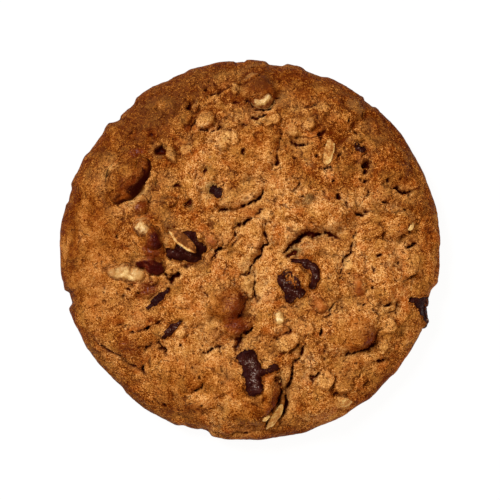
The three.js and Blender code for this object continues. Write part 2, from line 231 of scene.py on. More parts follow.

# Along a crack the dough sinks on its upper left and is reddened there with painted shade, and is paler on
# its lower right.
CRACK_LIP = 0.55
CRACK_SHOULDER = {"reach": 0.9, "drop": 0.18, "red": 0.3}
CRACK_EDGE = {"reach": 0.7, "pale": 0.15}

# Hollows: place, half length and half width in plan units, turn, depth. Each of them is also darkened with
# painted shade.
HOLLOWS = (
    ((161, 152), (6.5, 7), 0, 1.8),
    ((190, 107), (4.5, 5.5), 0, 1.5),
    ((151, 134), (5, 3), 0, 1.0),
    ((205, 91), (3, 4), 0, 0.9),
    ((236, 105), (4.5, 2.6), 0, 0.8),
    ((243, 154), (3, 2.2), -30, 1.0),
    ((317, 158), (2.2, 3.2), 0, 1.0),
    ((338, 157), (2.2, 3.4), -40, 1.0),
    ((294, 158), (2.4, 1.6), 0, 0.9),
    ((354, 134), (3.5, 3), 0, 1.2),
    ((346, 123), (1.8, 2.6), 0, 0.9),
    ((332, 183), (2.2, 2.8), 0, 1.1),
    ((384, 182), (3, 2), 30, 0.9),
    ((408, 233), (3.6, 2), 20, 1.1),
    ((377, 255), (4, 2.2), 10, 1.0),
    ((397, 264), (2, 4), 20, 1.1),
    ((362, 304), (2.2, 1.8), 0, 1.0),
    ((372, 269), (2, 4), 0, 0.9),
    ((332, 391), (5, 2.2), 10, 1.0),
    ((353, 363), (2, 1.8), 0, 0.9),
    ((147, 327), (3.4, 3), 30, 1.2),
    ((135, 331), (3.2, 2), -40, 1.0),
    ((134, 367), (2.6, 2.4), 0, 1.0),
    ((180, 345), (2.2, 1.8), 0, 1.0),
    ((177, 358), (1.8, 2.2), 0, 0.9),
    ((202, 375), (1.8, 3), 0, 1.0),
    ((204, 404), (3, 1.8), 30, 0.9),
    ((365, 168), (4.5, 9), -30, 1.8),
    ((365, 181), (3.5, 3.5), 0, 1.2),
    ((135, 104), (6, 2.5), 30, 1.0),
    ((120, 355), (3, 3), 0, 0.9),
    ((365, 382), (4, 3), 0, 0.9),
    ((338, 197), (3.2, 5), -10, 1.7),
    ((321, 136), (4, 6.5), -20, 1.7),
    ((320, 332), (3, 5.5), 0, 1.6),
    ((380, 361), (6, 2.5), 0, 1.1),
    ((165, 404), (4, 2.5), -20, 1.0),
    ((178, 414), (4.5, 2.5), -35, 1.0),
    ((387, 304), (6, 3), 48, 1.4),
    ((130, 289), (3, 3.5), 0, 0.9),
    ((189, 204), (5, 6), -40, 1.2),
    ((178, 187), (6, 4), 0, 1.2),
    ((205, 170), (3.5, 3.5), 0, 0.9),
    ((361, 115), (2.5, 5), 0, 0.9),
    ((291, 254), (7, 4), 30, 0.9),
    ((197, 260), (10, 4.5), 15, 1.2),
    ((247, 330), (7, 4), 30, 1.2),
)
# Painted shade laid into the hollows
HOLLOW_PAINTED_SHADE = 0.65

# Oat flakes that show as plates of the crust: place, half sizes in plan units, turn, lift, paleness
PLATES = (
    ((243, 195), (25, 11), 28, 0.8, 0.25),
    ((226, 238), (12, 6), 62, 0.8, 0.5),
    ((286, 341), (14, 9), 30, 0.8, 0.4),
    ((206, 121), (11, 9), 60, 0.9, 0.4),
    ((187, 119), (5, 8), 0, 0.6, 0.1),
    ((196, 106), (4, 8), 0, 0.6, 0.4),
    ((235, 90), (4, 9), 0, 0.5, 0.45),
    ((256, 126), (4.5, 3), 0, 0.4, 0.5),
    ((308, 417), (2.4, 6), 0, 0.4, 0.5),
    ((272, 122), (9, 6), 20, 0.7, 0.4),
    ((291, 132), (6, 8), 0, 0.8, 0.4),
    ((341, 401), (13, 8), -28, 0.6, 0.6),
    ((250, 79), (10, 5), 25, 0.7, 0.4),
    ((285, 373), (7, 11), 0, 0.7, 0.4),
    ((324, 377), (10, 9), 0, 0.7, 0.5),
    ((387, 325), (8, 8), 0, 0.7, 0.5),
    ((380, 345), (6, 8), 0, 0.6, 0.5),
    ((172, 156), (5, 9), 20, 0.7, 0.5),
    ((246, 265), (9, 9), 0, 0.5, 0.5),
    ((265, 215), (8, 7), 0, 0.5, 0.4),
    ((115, 168), (5, 7), -40, 0.5, 0.4),
    ((308, 126), (6, 7), 0, 0.8, 0.4),
    ((230, 140), (10, 8), 0, 0.5, 0.5),
    ((187, 151), (6, 6), 0, 0.5, 0.5),
    ((247, 287), (7, 11), 0, 0.5, 0.4),
    ((346, 264), (5, 7), 0, 0.2, 0.7),
    ((193, 380), (9, 10), 0, 0.4, 0.0),
    ((302, 277), (14, 7.5), -58, 0.6, 0.0),
)
LOOSE_PLATES = {
    "count": 90,
    "spread": 180,
    "half": (12.5, 8.0),
    "scale": (0.5, 1.15),
    "lift": 0.5,
    "lift_range": (0.3, 1.3),
    "pale": 0.22,
    "pale_range": (-0.6, 1.4),
    "seed": 5,
}

# Mounds and plates lean towards the lower right: direction in degrees, how far that of a plate may turn,
# and how each kind is edged
FACING = -45
PLATE_TURN = 70
MOUND_EDGE = {"inner": 0.45, "lean": 0.35, "groove": 0.12}
PLATE_EDGE = {"inner": 0.8, "lean": 0.8, "groove": 0.35}
EDGE_GROOVE = {"place": 1.08, "width": 0.1}

# How unevenly the dough is craggy: share, size across, seed, and its least and most
CRAGGY_NOISE = ((0.25, 14, 6),)
CRAGGY_RANGE = (0.2, 1.15)

# Lumps of the crust: size across, rise, seed
BILLOWS = ((11.0, 1.3, 61), (5.6, 0.88, 62), (2.9, 0.28, 63), (1.6, 0.1, 64))
BILLOW_LEVEL = 0.3

# Broken plates of crust: size across, lean, step, seed, and the joints that are open between some of them
SHARDS = ((6.4, 0.08, 0.34, 12), (2.8, 0.07, 0.14, 15))
SHARD_BLUR = 0.18
JOINT = {"opens": (0.05, 0.45), "width": 0.3, "varies": 0.25, "over": 1.2, "least": 0.02, "depth": 1.3}

# Crumb: grains of two sizes, and pits where layers of noise (edge, share, size across, seed) are high
GRAIN = {"across": 1.3, "rise": 0.14, "step": 0.08, "blur": 0.1, "seed": 17}
FINE_GRAIN = {"across": 0.75, "rise": 0.12, "seed": 18}
PIT_NOISE = (("smooth", 0.5, 1.3, 20), ("ragged", 0.45, 0.75, 21), ("smooth", 0.35, 4.5, 22))
PITS = {"opens": (0.48, 0.8), "depth": 0.75}

# How soft patches are: the share of their size that is full, and their kind of edge
SMOOTHED_EDGE = {"inner": 0.4}
TOASTED_EDGE = {"inner": 0.1}
REDDENED_EDGE = {"inner": 0.2, "edge": "ragged"}
PALED_EDGE = {"inner": 0.1, "edge": "ragged"}
HOLLOW_EDGE = {"inner": 0.2, "edge": "ragged"}
FLAKE_TINT_EDGE = {"inner": 0.6, "edge": "uneven"}

# How edges wander: shifts and the distances they vary over, and a seed
WANDER = {
    "smooth": ((), 0),
    "uneven": (((0.3, 2.1), (0.16, 0.9)), 141),
    "rounded": (((1.4, 6.0), (0.4, 2.4)), 131),
    "ragged": (((0.6, 2.3), (0.35, 0.9)), 101),
    "broken": (((1.5, 5.5), (0.8, 1.9), (0.3, 0.8)), 111),
}

# Colour of the crust, with painted shadows beside pieces, lumps and creases among the toasted and reddened
# patches: place, half sizes in plan units, turn, amount
REDDENED_AND_SHADED = (
    ((230, 302), (21, 24), 0, 0.5),
    ((240, 306), (11, 20), 0, 0.8),
    ((238, 323), (18, 13), 0, 1.0),
    ((158, 252), (11, 13), 0, 0.5),
    ((148, 218), (9, 8), 0, 0.4),
    ((133, 184), (22, 8), 51, 0.45),
    ((238, 341), (5, 12), 0, 0.7),
    ((151, 134), (8, 5), 0, 0.8),
    ((100, 250), (60, 100), 0, 0.1),
    ((364, 332), (13, 16), 0, 0.55),
    ((355, 285), (9, 12), 0, 0.4),
    ((276, 392), (8, 20), 0, 0.45),
    ((130, 347), (18, 18), 0, 0.6),
    ((313, 302), (9, 8), 0, 0.3),
    ((210, 238), (7, 8), 0, 0.3),
    ((142, 208), (10, 8), 0, 1.1),
    ((156, 240), (9, 14), 0, 0.6),
    ((152, 252), (12, 12), 0, 0.9),
    ((138, 154), (13, 8), 20, 0.9),
    ((160, 152), (8, 8), 0, 0.7),
    ((150, 284), (14, 14), 0, 0.5),
    ((250, 100), (30, 20), 0, 0.3),
    ((364, 156), (12, 22), 0, 0.4),
    ((302, 232), (16, 6), 20, 0.4),
    # Painted shadow beside chocolate_8
    ((149, 291), (18, 10), 20, 0.6),
    ((219, 335), (14, 12), 0, 0.5),
    # Painted shadow under chocolate_3
    ((191, 263), (13, 5), 15, 0.9),
)
TOASTED_AND_SHADED = (
    ((190, 95), (32, 18), 20, 0.22),
    ((258, 92), (18, 12), 0, 0.2),
    ((95, 150), (26, 20), 45, 0.22),
    ((145, 120), (26, 18), 40, 0.3),
    ((385, 130), (20, 32), 0, 0.14),
    ((75, 250), (10, 40), 0, 0.15),
    ((375, 335), (24, 20), 0, 0.12),
    ((130, 350), (24, 24), 0, 0.12),
    ((410, 210), (14, 12), 0, 0.2),
    ((250, 398), (22, 22), 0, 0.14),
    ((170, 250), (26, 34), 0, 0.26),
    ((325, 255), (30, 40), 0, -0.14),
    ((197, 197), (34, 30), 0, -0.12),
    ((194, 308), (34, 28), 0, -0.14),
    ((310, 312), (30, 26), 0, 0.1),
    ((250, 328), (30, 20), 0, 0.1),
    ((250, 172), (36, 28), 0, 0.07),
    ((231, 306), (28, 32), 0, 0.2),
    ((160, 228), (26, 34), 0, 0.2),
    # Painted shade in the crease between the rim and a plate
    ((174, 110), (6, 14), 0, 0.25),
    ((333, 228), (22, 13), 15, -0.6),
    ((328, 175), (18, 14), 0, -0.65),
    ((390, 228), (17, 14), 0, -0.42),
    ((308, 358), (16, 14), 0, -0.42),
    ((204, 128), (17, 12), 0, -0.58),
    ((200, 397), (23, 15), 0, -0.5),
    ((161, 364), (18, 14), 0, -0.36),
    ((178, 301), (18, 13), 30, -0.34),
    ((84, 214), (16, 20), 0, -0.32),
    ((210, 219), (15, 10), 20, -0.32),
    ((248, 199), (17, 9), 28, -0.3),
    ((276, 329), (13, 10), 0, -0.3),
    ((339, 347), (16, 10), 15, -0.3),
    ((187, 326), (12, 10), 30, -0.28),
    ((347, 392), (16, 11), -28, -0.28),
    ((341, 124), (15, 13), 0, -0.26),
    ((254, 243), (16, 12), 55, -0.26),
    # Painted shadow beside chocolate_8
    ((149, 293), (20, 12), 20, 0.3),
    ((219, 334), (17, 14), 0, 0.3),
    ((283, 106), (14, 16), 0, 0.4),
    # Painted shadows beside chocolate_2 and walnut_2
    ((277, 376), (12, 16), 0, 0.36),
    ((156, 188), (10, 18), -40, 0.36),
    ((232, 410), (20, 14), 0, 0.34),
    ((377, 137), (15, 18), 0, 0.5),
    ((172, 228), (12, 14), 0, 0.3),
    ((325, 289), (13, 13), 0, 0.3),
    ((355, 295), (13, 10), 0, 0.26),
    ((310, 165), (14, 12), 0, -0.34),
    ((229, 208), (14, 8), 20, -0.3),
    ((389, 209), (14, 8), 0, -0.3),
    ((84, 236), (14, 16), 0, -0.28),
    ((129, 301), (16, 13), 0, 0.36),
    ((295, 117), (13, 12), 0, 0.32),
    ((299, 214), (14, 12), 0, 0.28),
    ((207, 170), (13, 17), 0, 0.34),
    ((277, 358), (10, 10), 0, 0.3),
    ((268, 173), (14, 12), 0, 0.26),
    ((154, 158), (12, 10), 0, 0.26),
    ((179, 189), (11, 9), 0, 0.28),
    ((130, 286), (14, 8), 0, 0.26),
    ((271, 105), (11, 10), 0, 0.26),
    ((303, 412), (14, 10), 0, -0.26),
    ((112, 186), (14, 14), 0, -0.26),
    ((244, 143), (14, 12), 0, -0.28),
    # Painted shadow under chocolate_3
    ((203, 266), (14, 10), 15, 0.65),
    ((286, 388), (10, 15), 0, 0.6),
    ((342, 166), (14, 12), 0, -0.34),
    ((186, 293), (15, 11), 30, -0.26),
    ((300, 242), (13, 8), 20, 0.28),
    ((92, 297), (16, 16), 0, 0.28),
    ((152, 193), (9, 12), -40, 0.28),
    ((245, 202), (15, 9), 28, -0.26),
    ((158, 108), (15, 11), 40, -0.55),
    ((244, 93), (15, 9), 0, -0.26),
    ((153, 281), (12, 9), 0, 0.26),
    ((246, 395), (12, 8), 0, -0.24),
    ((264, 323), (10, 9), 0, -0.26),
    ((242, 264), (12, 10), 0, -0.26),
    ((97, 237), (14, 14), 0, -0.26),
    ((196, 357), (13, 10), 0, 0.26),
    ((330, 347), (13, 10), 0, -0.26),
    ((286, 221), (12, 10), 0, 0.26),
    ((292, 277), (12, 9), -54, -0.35),
)
PALED = (
    ((307, 199), (11, 8), 30, -0.9),
    ((212, 190), (14, 13), 0, -0.75),
    ((192, 208), (9, 7), -40, -0.6),
    ((206, 168), (7, 7), 0, -0.4),
    ((174, 329), (10, 8), 45, -0.1),
    ((288, 300), (14, 6), -10, -0.35),
    ((292, 250), (12, 12), 40, -1.0),
    ((164, 330), (8, 10), -40, 0.45),
    ((387, 390), (8, 6), 0, -0.4),
    ((346, 264), (6, 9), 0, 0.6),
    ((301, 250), (14, 7), 20, -0.35),
    ((360, 260), (9, 9), 0, 0.3),
    ((330, 303), (10, 8), 40, 0.3),
    ((286, 322), (14, 9), 0, 0.35),
    ((255, 336), (10, 7), 0, 0.35),
    ((171, 261), (9, 5), -35, 0.4),
    ((167, 240), (6, 10), 0, 0.35),
    ((215, 181), (10, 6), 0, 0.35),
    ((180, 333), (7, 8), 0, 0.4),
    ((133, 203), (12, 4), 20, 0.5),
    ((144, 193), (15, 3), 48, 0.5),
    ((350, 352), (14, 5), 15, 0.3),
    ((251, 286), (8, 14), 0, 0.35),
    ((358, 136), (3, 4), 0, 0.6),
    ((357, 293), (9, 5), 0, -0.4),
    ((165, 112), (90, 48), 40, -0.16),
    ((240, 86), (66, 26), 0, -0.14),
)

# Browning by distance from the middle in plan units, and a darker or paler tone by direction
RIM_BROWNING = ((0, 40, 100, 150, 170, 180, 189), (0.37, 0.51, 0.575, 0.63, 0.72, 0.86, 1.0))
SIDE_TONE = (
    (0, 45, 90, 135, 180, 225, 270, 315, 360),
    (-0.2, 0.2, 0.12, 0.32, -0.08, 0.0, -0.12, -0.12, -0.2),
)
SIDE_SPAN = (70, 160)
TOAST_NOISE = ((0.2, 13, 23), (0.25, 7, 24), (0.14, 2.6, 25))
DARKEST_TOAST = 0.98

# Reaches over which the relief is rounded into lumps, and levelled into the ground that they stand on
LUMP_BLUR = (1.0, 4.5)

# What sets in by degrees: share, and the values where it starts and is full
SIDE_SMOOTHING = (0.6, 164, 187)
LUMP_BROWNING = (0.1, 0, 0.7)
LUMP_PALENESS = (0.3, 0.1, 0.7)
# Painted shade: redness on slopes that drop to the lower right, away from the light
SLOPE_PAINTED_SHADE = (0.26, 0.2, 0.9)

# Painted shade by depth below the ground around: share, reach of that ground, reach of the place, least
# depth, depth to full
HOLLOW_SHADING = ((1.0, 1.1, 0, 0.1, 1.1), (0.55, 0.4, 0, 0.04, 0.3), (0.2, 2.4, 0.7, 0.1, 1.0))

# Ridges are paler, a painted highlight: reach of the ground that they stand above, the rise that is full,
# and by how much
RIDGE_HIGHLIGHT = {"reach": 0.5, "full": 0.3, "paleness": 0.12}

# Pieces in the dough: depth, how proud they stand, and the strokes (half width in plan units, route) that
# their outline takes in
PIECES = {
    "chocolate_1": (
        6.0, 0.7,
        (
            (5.4, ((281, 278), (285, 286), (289, 291))),
            (6.0, ((289, 293), (290, 297))),
            (5.8, ((294, 291), (299, 292))),
            (6.0, ((287, 274), (294, 284))),
            (3.2, ((293, 261), (300, 261))),
            (4.8, ((304, 263), (311, 266), (315, 272), (314, 278))),
            (3.8, ((313, 280), (311, 285))),
        ),
    ),
    "chocolate_2": (
        5.6, 0.8,
        (
            (11.0, ((249, 358), (252, 368))),
            (9.8, ((254, 370), (254, 381))),
            (4.6, ((240, 356), (245, 351))),
            (4.4, ((260, 370), (268, 369), (274, 365))),
            (4.6, ((252, 384), (252, 388))),
        ),
    ),
    "chocolate_3": (
        5.4, 0.8,
        (
            (14.5, ((182, 247), (191, 244))),
            (8.6, ((176, 252), (196, 254))),
            (6.4, ((198, 254), (202, 249))),
        ),
    ),
    "chocolate_4": (
        7.0, 0.5,
        (
            (6.0, ((420, 304), (428, 304))),
            (3.2, ((414, 301), (430, 299))),
            (5.6, ((423, 311), (427, 313))),
            (4.4, ((424, 318), (426, 322))),
            (2.8, ((424, 325), (425, 327))),
        ),
    ),
    "chocolate_5": (3.4, 0.05, ((7.8, ((214, 191), (217, 192))),)),
    "chocolate_6": (3.0, 0.4, ((4.2, ((170, 331), (176, 325))), (2.4, ((165, 336), (181, 321))))),
    "chocolate_7": (2.8, 0.3, ((4.3, ((355, 148), (361, 151))),)),
    "chocolate_8": (3.0, 0.1, ((4.2, ((155, 302), (163, 295))), (2.4, ((149, 307), (169, 290))))),
    "walnut_1": (
        4.2, 0.9,
        (
            (7.6, ((128, 271), (128, 273))),
            (6.6, ((117, 271), (119, 272))),
            (7.4, ((138, 274), (139, 275))),
            (6.0, ((119, 273), (136, 277))),
        ),
    ),
    "walnut_2": (5.4, 0.5, ((6.2, ((118, 199), (129, 194), (139, 184), (145, 173), (146, 165))),)),
    "walnut_3": (2.6, 0.4, ((3.2, ((256, 105), (263, 104), (269, 98))),)),
    "walnut_4": (3.0, 0.8, ((8.0, ((144, 226), (146, 228))),)),
    "walnut_5": (4.2, 1.4, ((9.2, ((153, 265), (157, 266))), (6.0, ((142, 262), (150, 263))))),
    "walnut_6": (4.0, 1.2, ((7.6, ((155, 234), (157, 242))),)),
    "walnut_7": (2.8, 0.4, ((5.0, ((278, 314), (279, 318))),)),
    "walnut_8": (3.4, 0.7, ((6.8, ((315, 300), (319, 305))),)),
    "walnut_9": (4.0, 0.6, ((6.4, ((354, 281), (357, 289))),)),
    "walnut_10": (3.0, 0.6, ((6.6, ((208, 238), (212, 241))),)),
}

# Dough that lies over a piece: place, half sizes in plan units, turn, share
COVERS = {
    "chocolate_1": (((290, 277), (13, 8), -54, 0.45),),
    "chocolate_2": (((269, 367), (7, 5), 0, 0.2),),
    "walnut_1": (((113, 271), (6, 9), 0, 0.4),),
    "chocolate_3": (((203, 235), (8, 9), 0, 1.0), ((172, 241), (10, 9), -40, 1.0)),
    "chocolate_4": (((428, 310), (6, 16), 0, 0.42),),
    "chocolate_7": (((357, 147), (6, 3), 0, 0.5),),
}

# Darker parts of a piece: place, half sizes in plan units, turn, share
SHADES = {
    "walnut_1": (
        ((142, 277), (8, 10), 0, 0.9),
        ((114, 271), (7, 9), 0, 0.8),
        ((133, 266), (2.4, 6), 0, 1.0),
    ),
    "walnut_2": (((144, 184), (27, 7), 53, 1.0),),
    "walnut_5": (((159, 268), (11, 9), 0, 1.0),),
    "walnut_6": (((159, 245), (7, 7), 0, 0.9),),
    "chocolate_3": (((201, 251), (9, 9), 0, 1.0),),
    "chocolate_4": (((420, 308), (14, 16), 0, 0.8),),
    "chocolate_5": (((216, 192), (13, 13), 0, 0.85),),
    "chocolate_8": (((159, 298), (18, 9), 40, 0.9),),
}
WALNUT_LOOKS = {
    "walnut_1": "nutmeat",
    "walnut_2": "glazed",
    "walnut_3": "nutmeat",
    "walnut_4": "nutmeat",
    "walnut_5": "skin",
    "walnut_6": "skin",
    "walnut_7": "nutmeat",
    "walnut_8": "toasted",
    "walnut_9": "toasted",
    "walnut_10": "toasted",
}

# Form of the pieces: rings and segments, how far they reach past their strokes, how square they are below,
# where that turns into the upper face, the rounding of its edge, and its small lumps
PIECE_BALL = (72, 80)
PIECE_MARGIN = 1.25
PIECE_SQUARENESS = 4
PIECE_FACE = (0.1, 0.6)
ROUNDING_SHARE = 0.6
PIECE_ROUNDING = (0.8, 2.0)
PIECE_NOISE = ((0.25, 2.2, 41), (0.1, 0.9, 42))

# How the dough and the pieces meet: reach that levels the ground, how far each sinks under the other, the
# edge of the pocket, the groove round each kind, how far dough rises over a piece, and where films set in
GROUND_BLUR = 1.1
PIECE_SINK = 1.2
POCKET_EDGE = (-0.45, 0.15)
GROOVE = {"chocolate": 0.3, "walnut": 0.1}
GROOVE_WIDTH = 0.4
COVER_RISE = 0.8
FILM_SPAN = (0, 0.3)

# How the outline of a piece wanders, less on one narrower than the full half width, how its patches do, and
# the share of a patch that is full
FULL_WIDTH = 9
LEAST_UNEVEN = 0.4
PIECE_WANDER = (((0.4, 2.0), (0.24, 0.8)), 121)
PATCH_WANDER = (((0.35, 1.6), (0.2, 0.7)), 151)
PATCH_INNER = {"cover": 0.65, "shade": 0.3}

# How a film of dough fades off each kind of piece: share of its half width, and shift in plan units to the
# lower right, so that the upper left is the side that runs into the dough
FILM = {
    "chocolate": (0.2, 0.0),
    "nutmeat": (0.8, 0.6),
    "toasted": (0.9, 2.0),
    "skin": (0.35, 0.8),
    "glazed": (0.5, 3.0),
    "walnut_4": (1.2, 0.0),
    "walnut_5": (0.3, 1.9),
    "walnut_6": (0.7, 2.6),
    "walnut_7": (0.4, 0.6),
    "chocolate_3": (0.1, 0.0),
    "chocolate_5": (0.6, 1.0),
    "chocolate_7": (0.5, 0.0),
}

# Whole oat flakes: place, half length and half width in plan units, turn, tilt, lift, browning
FLAKES = (
    ((328, 152), (15.5, 5.2), 78, 14, 0.3, 0.5),
    ((185, 241), (17, 6), -41, -14, 1.4, 1.05),
    ((275, 415), (15, 7), 62, 40, 0.5, 0.3),
    ((265, 412), (4.5, 2.4), 25, 0, 0.3, 0.05),
    ((341, 400), (12, 5.5), -20, 10, 0.1, 0.4),
    ((408, 227), (4.6, 2.4), 65, 20, 0.4, 0.1),
)
FLAKE_BALL = (14, 36)
FLAKE_THICKNESS = 0.7
FLAKE_CUP = 0.3
FLAKE_BLUNTNESS = 0.6
FLAKE_EDGE_NOISE = ((0.1, 1.0, 44),)
FLAKE_FACE_NOISE = ((0.16, 1.6, 45),)
FLAKE_EDGE_PALENESS = (0.8, 0.64, 0.8)
FLAKE_LOWER_SIDE = (0.1, 0.4)

# Loose crumbs: the share of the crust that they lie on, how much small ones outnumber large ones, how far
# they sink in, and how uneven their form and their browning are
CRUMBS = {
    "count": 6000,
    "spread": 0.84,
    "radius": (0.09, 0.34),
    "small": 2.5,
    "sink": 0.2,
    "uneven": (0.65, 1.3),
    "tones": (-0.2, 0.2),
    "seed": 21,
}
CRUMB_BALL = (3, 5)
BARE_DOUGH = 0.1

# The underside: share of the foot that it takes, dimples and blotches (size across, seed), and its tones
BASE_INSET = 0.985
DIMPLES = (3.2, 31)
DIMPLE_FADE = 0.9
DIMPLE_DEPTH = 0.25
# Painted shade in the dimples
DIMPLE_PAINTED_SHADE = 0.3
BLOTCHES = (8, 32)
BASE_TOAST = {"even": 0.62, "blotch": 0.16, "rim": (0.14, 0.7, 1)}
SMOOTH_DETAIL = 0.7

# Floor, light and camera: lights face the cookie from a direction, distances are metres
FLOOR_HALF = 1.5
FLOOR_LOOK = {
    "Base Color": (0.06, 0.06, 0.06, 1),
    "Roughness": 1.0,
    "Specular IOR Level": 0.0,
    "Emission Color": (1, 1, 1, 1),
    "Emission Strength": 0.95,
}
AIR_LOOK = {"Color": (1, 0.84, 0.62, 1), "Strength": 0.3}
LIGHT_SIZE = 0.5
LIGHTS = {
    "key": {"direction": (-0.6, 0.56, 1.0), "distance": 1.4, "power": 22.0, "colour": (0.98, 1, 1.06)},
    "fill": {"direction": (0.7, -0.6, 0.8), "distance": 0.8, "power": 2.7, "colour": (1, 0.76, 0.45)},
}
VIEW_WIDTH = 500 * UNIT
LENS = 200.0
SENSOR = 36.0
CLIP = (0.01, 10)

# Noise repeats after this many cells, and is scaled to run from about -1 to 1.
NOISE_CELLS = 128
NOISE_GAIN = 1.6


def smoothstep(value, low, high):
    share = np.clip((value - low) / (high - low), 0, 1)
    return share * share * (3 - 2 * share)


def mix(first, second, share):
    return first + (second - first) * share


def rising(value, share, low, high):
    """A share that sets in at a low value and is full at a high one."""
    return share * smoothstep(value, low, high)


def bell(distance, width):
    """1 where the distance is nothing, fading over a width."""
    return np.exp(-((distance / width) ** 2))


def gradient_noise(x, y, cell, seed):
    """Smooth noise from about -1 to 1, whose lumps are about one cell across."""
    turns = np.random.default_rng(seed).uniform(0, 2 * np.pi, (NOISE_CELLS, NOISE_CELLS))
    u, v = x / cell, y / cell
    column, row = np.floor(u).astype(int), np.floor(v).astype(int)
    across, up = u - column, v - row

    def corner(right, above):
        turn = turns[(column + right) % NOISE_CELLS, (row + above) % NOISE_CELLS]
        return np.cos(turn) * (across - right) + np.sin(turn) * (up - above)

    blend_x, blend_y = smoothstep(across, 0, 1), smoothstep(up, 0, 1)
    below = mix(corner(0, 0), corner(1, 0), blend_x)
    above = mix(corner(0, 1), corner(1, 1), blend_x)
    return NOISE_GAIN * mix(below, above, blend_y)


def layered_noise(x, y, layers):
    """Noise of several sizes together: share, size across and seed of each."""
    return sum(share * gradient_noise(x, y, across, seed) for share, across, seed in layers)


def cells(x, y, cell, seed):
    """Cells around scattered points: distances to the nearest two in cells, a random number and a lean."""
    random = np.random.default_rng(seed)
    place = random.uniform(0.1, 0.9, (NOISE_CELLS, NOISE_CELLS, 2))
    number = random.uniform(0, 1, (NOISE_CELLS, NOISE_CELLS))
    turn = random.uniform(0, 2 * np.pi, (NOISE_CELLS, NOISE_CELLS))
    u, v = x / cell, y / cell
    column, row = np.floor(u).astype(int), np.floor(v).astype(int)
    nearest = np.full(u.shape, np.inf)
    second = np.full(u.shape, np.inf)
    owner = np.zeros(u.shape)
    lean = np.zeros(u.shape)
    for right in (-1, 0, 1):
        for above in (-1, 0, 1):
            i, j = (column + right) % NOISE_CELLS, (row + above) % NOISE_CELLS
            dx = u - column - right - place[i, j, 0]
            dy = v - row - above - place[i, j, 1]
            distance = np.hypot(dx, dy)
            closer = distance < nearest
            second = np.where(closer, nearest, np.minimum(second, distance))
            owner = np.where(closer, number[i, j], owner)
            lean = np.where(closer, np.cos(turn[i, j]) * dx + np.sin(turn[i, j]) * dy, lean)
            nearest = np.where(closer, distance, nearest)
    return nearest, second, owner, lean


# The side view from the crown to the edge of the base, by length along the surface


def bezier(points, count):
    t = np.linspace(0, 1, count)[:, None]
    a, b, c, d = (np.array(point, float) for point in points)
    return a * (1 - t) ** 3 + 3 * b * t * (1 - t) ** 2 + 3 * c * t**2 * (1 - t) + d * t**3


shoulder_height = BELLY_HEIGHT + (THICKNESS - BELLY_HEIGHT) * SHOULDER
crown = bezier(
    (
        (0, THICKNESS),
        (RIM_RADIUS * CROWN_FLATNESS, THICKNESS),
        (RIM_RADIUS, shoulder_height),
        (RIM_RADIUS, BELLY_HEIGHT),
    ),
    PROFILE_STEPS["crown"],
)
foot = bezier(
    (
        (RIM_RADIUS, BELLY_HEIGHT),
        (RIM_RADIUS, BELLY_HEIGHT * FOOT_BULGE),
        (RIM_RADIUS - FOOT_INSET * FOOT_TUCK, 0),
        (RIM_RADIUS - FOOT_INSET, 0),
    ),
    PROFILE_STEPS["foot"],
)
side = np.vstack((crown, foot[1:]))
along = np.concatenate(((0,), np.cumsum(np.hypot(*np.diff(side, axis=0).T))))
CRUST_LENGTH = along[-1]
slope = np.gradient(side, along, axis=0)
side_out = np.column_stack((-slope[:, 1], slope[:, 0])) / np.hypot(*slope.T)[:, None]


def on_map(place):
    """A place in plan, on the map of the crust."""
    x, y = (place[0] - PLAN_CENTRE) * UNIT, (PLAN_CENTRE - place[1]) * UNIT
    radius = math.hypot(x, y)
    reach = np.interp(radius, crown[:, 0], along[: len(crown)]) / max(radius, 1e-9)
    return np.array((x * reach, y * reach))


def outline(angle):
    """How far the outline stands out of a true circle."""
    reach = sum(size * np.sin(waves * angle + phase) for waves, size, phase in WOBBLE)
    for direction, half_angle, depth in NOTCHES:
        apart = np.abs((np.degrees(angle) - direction + 180) % 360 - 180)
        reach = reach - depth * (1 - smoothstep(apart / half_angle, NOTCH_FLOOR, 1))
    return reach


def crust_point(x, y, height):
    """Points in space for places on the map, at a height above the smooth crust."""
    reach, angle = np.hypot(x, y), np.arctan2(y, x)
    grown = outline(angle) * smoothstep(reach / CRUST_LENGTH, *OUTLINE_SPAN)
    radius = np.interp(reach, along, side[:, 0]) + grown + np.interp(reach, along, side_out[:, 0]) * height
    level = np.interp(reach, along, side[:, 1]) + np.interp(reach, along, side_out[:, 1]) * height
    return np.stack((radius * np.cos(angle), radius * np.sin(angle), level), axis=-1)


# The map of the crust

steps = np.arange(-CRUST_LENGTH, CRUST_LENGTH + MAP_STEP, MAP_STEP)
map_x, map_y = np.meshgrid(steps, steps)
map_reach = np.hypot(map_x, map_y)
plan_reach = np.interp(map_reach, along, side[:, 0]) / UNIT


def warped(x, y, amounts, seed):
    """Places shifted by noise: for each amount, how far and over what distance."""
    moved_x, moved_y = x, y
    for index, (shift, cell) in enumerate(amounts):
        moved_x = moved_x + shift * gradient_noise(x, y, cell, seed + 2 * index)
        moved_y = moved_y + shift * gradient_noise(x, y, cell, seed + 2 * index + 1)
    return moved_x, moved_y


EDGES = {name: warped(map_x, map_y, *wander) for name, wander in WANDER.items()}


def edge_part(edge, part):
    """Places in a part of the map, shifted for one kind of edge."""
    x, y = EDGES[edge]
    return x[part], y[part]


def blurred(field, reach):
    """The field, smoothed over a distance."""
    wave_y = np.fft.fftfreq(steps.size, MAP_STEP)[:, None]
    wave_x = np.fft.rfftfreq(steps.size, MAP_STEP)[None, :]
    keep = np.exp(-2 * (np.pi * reach) ** 2 * (wave_x**2 + wave_y**2))
    return np.fft.irfft2(np.fft.rfft2(field) * keep, s=field.shape)


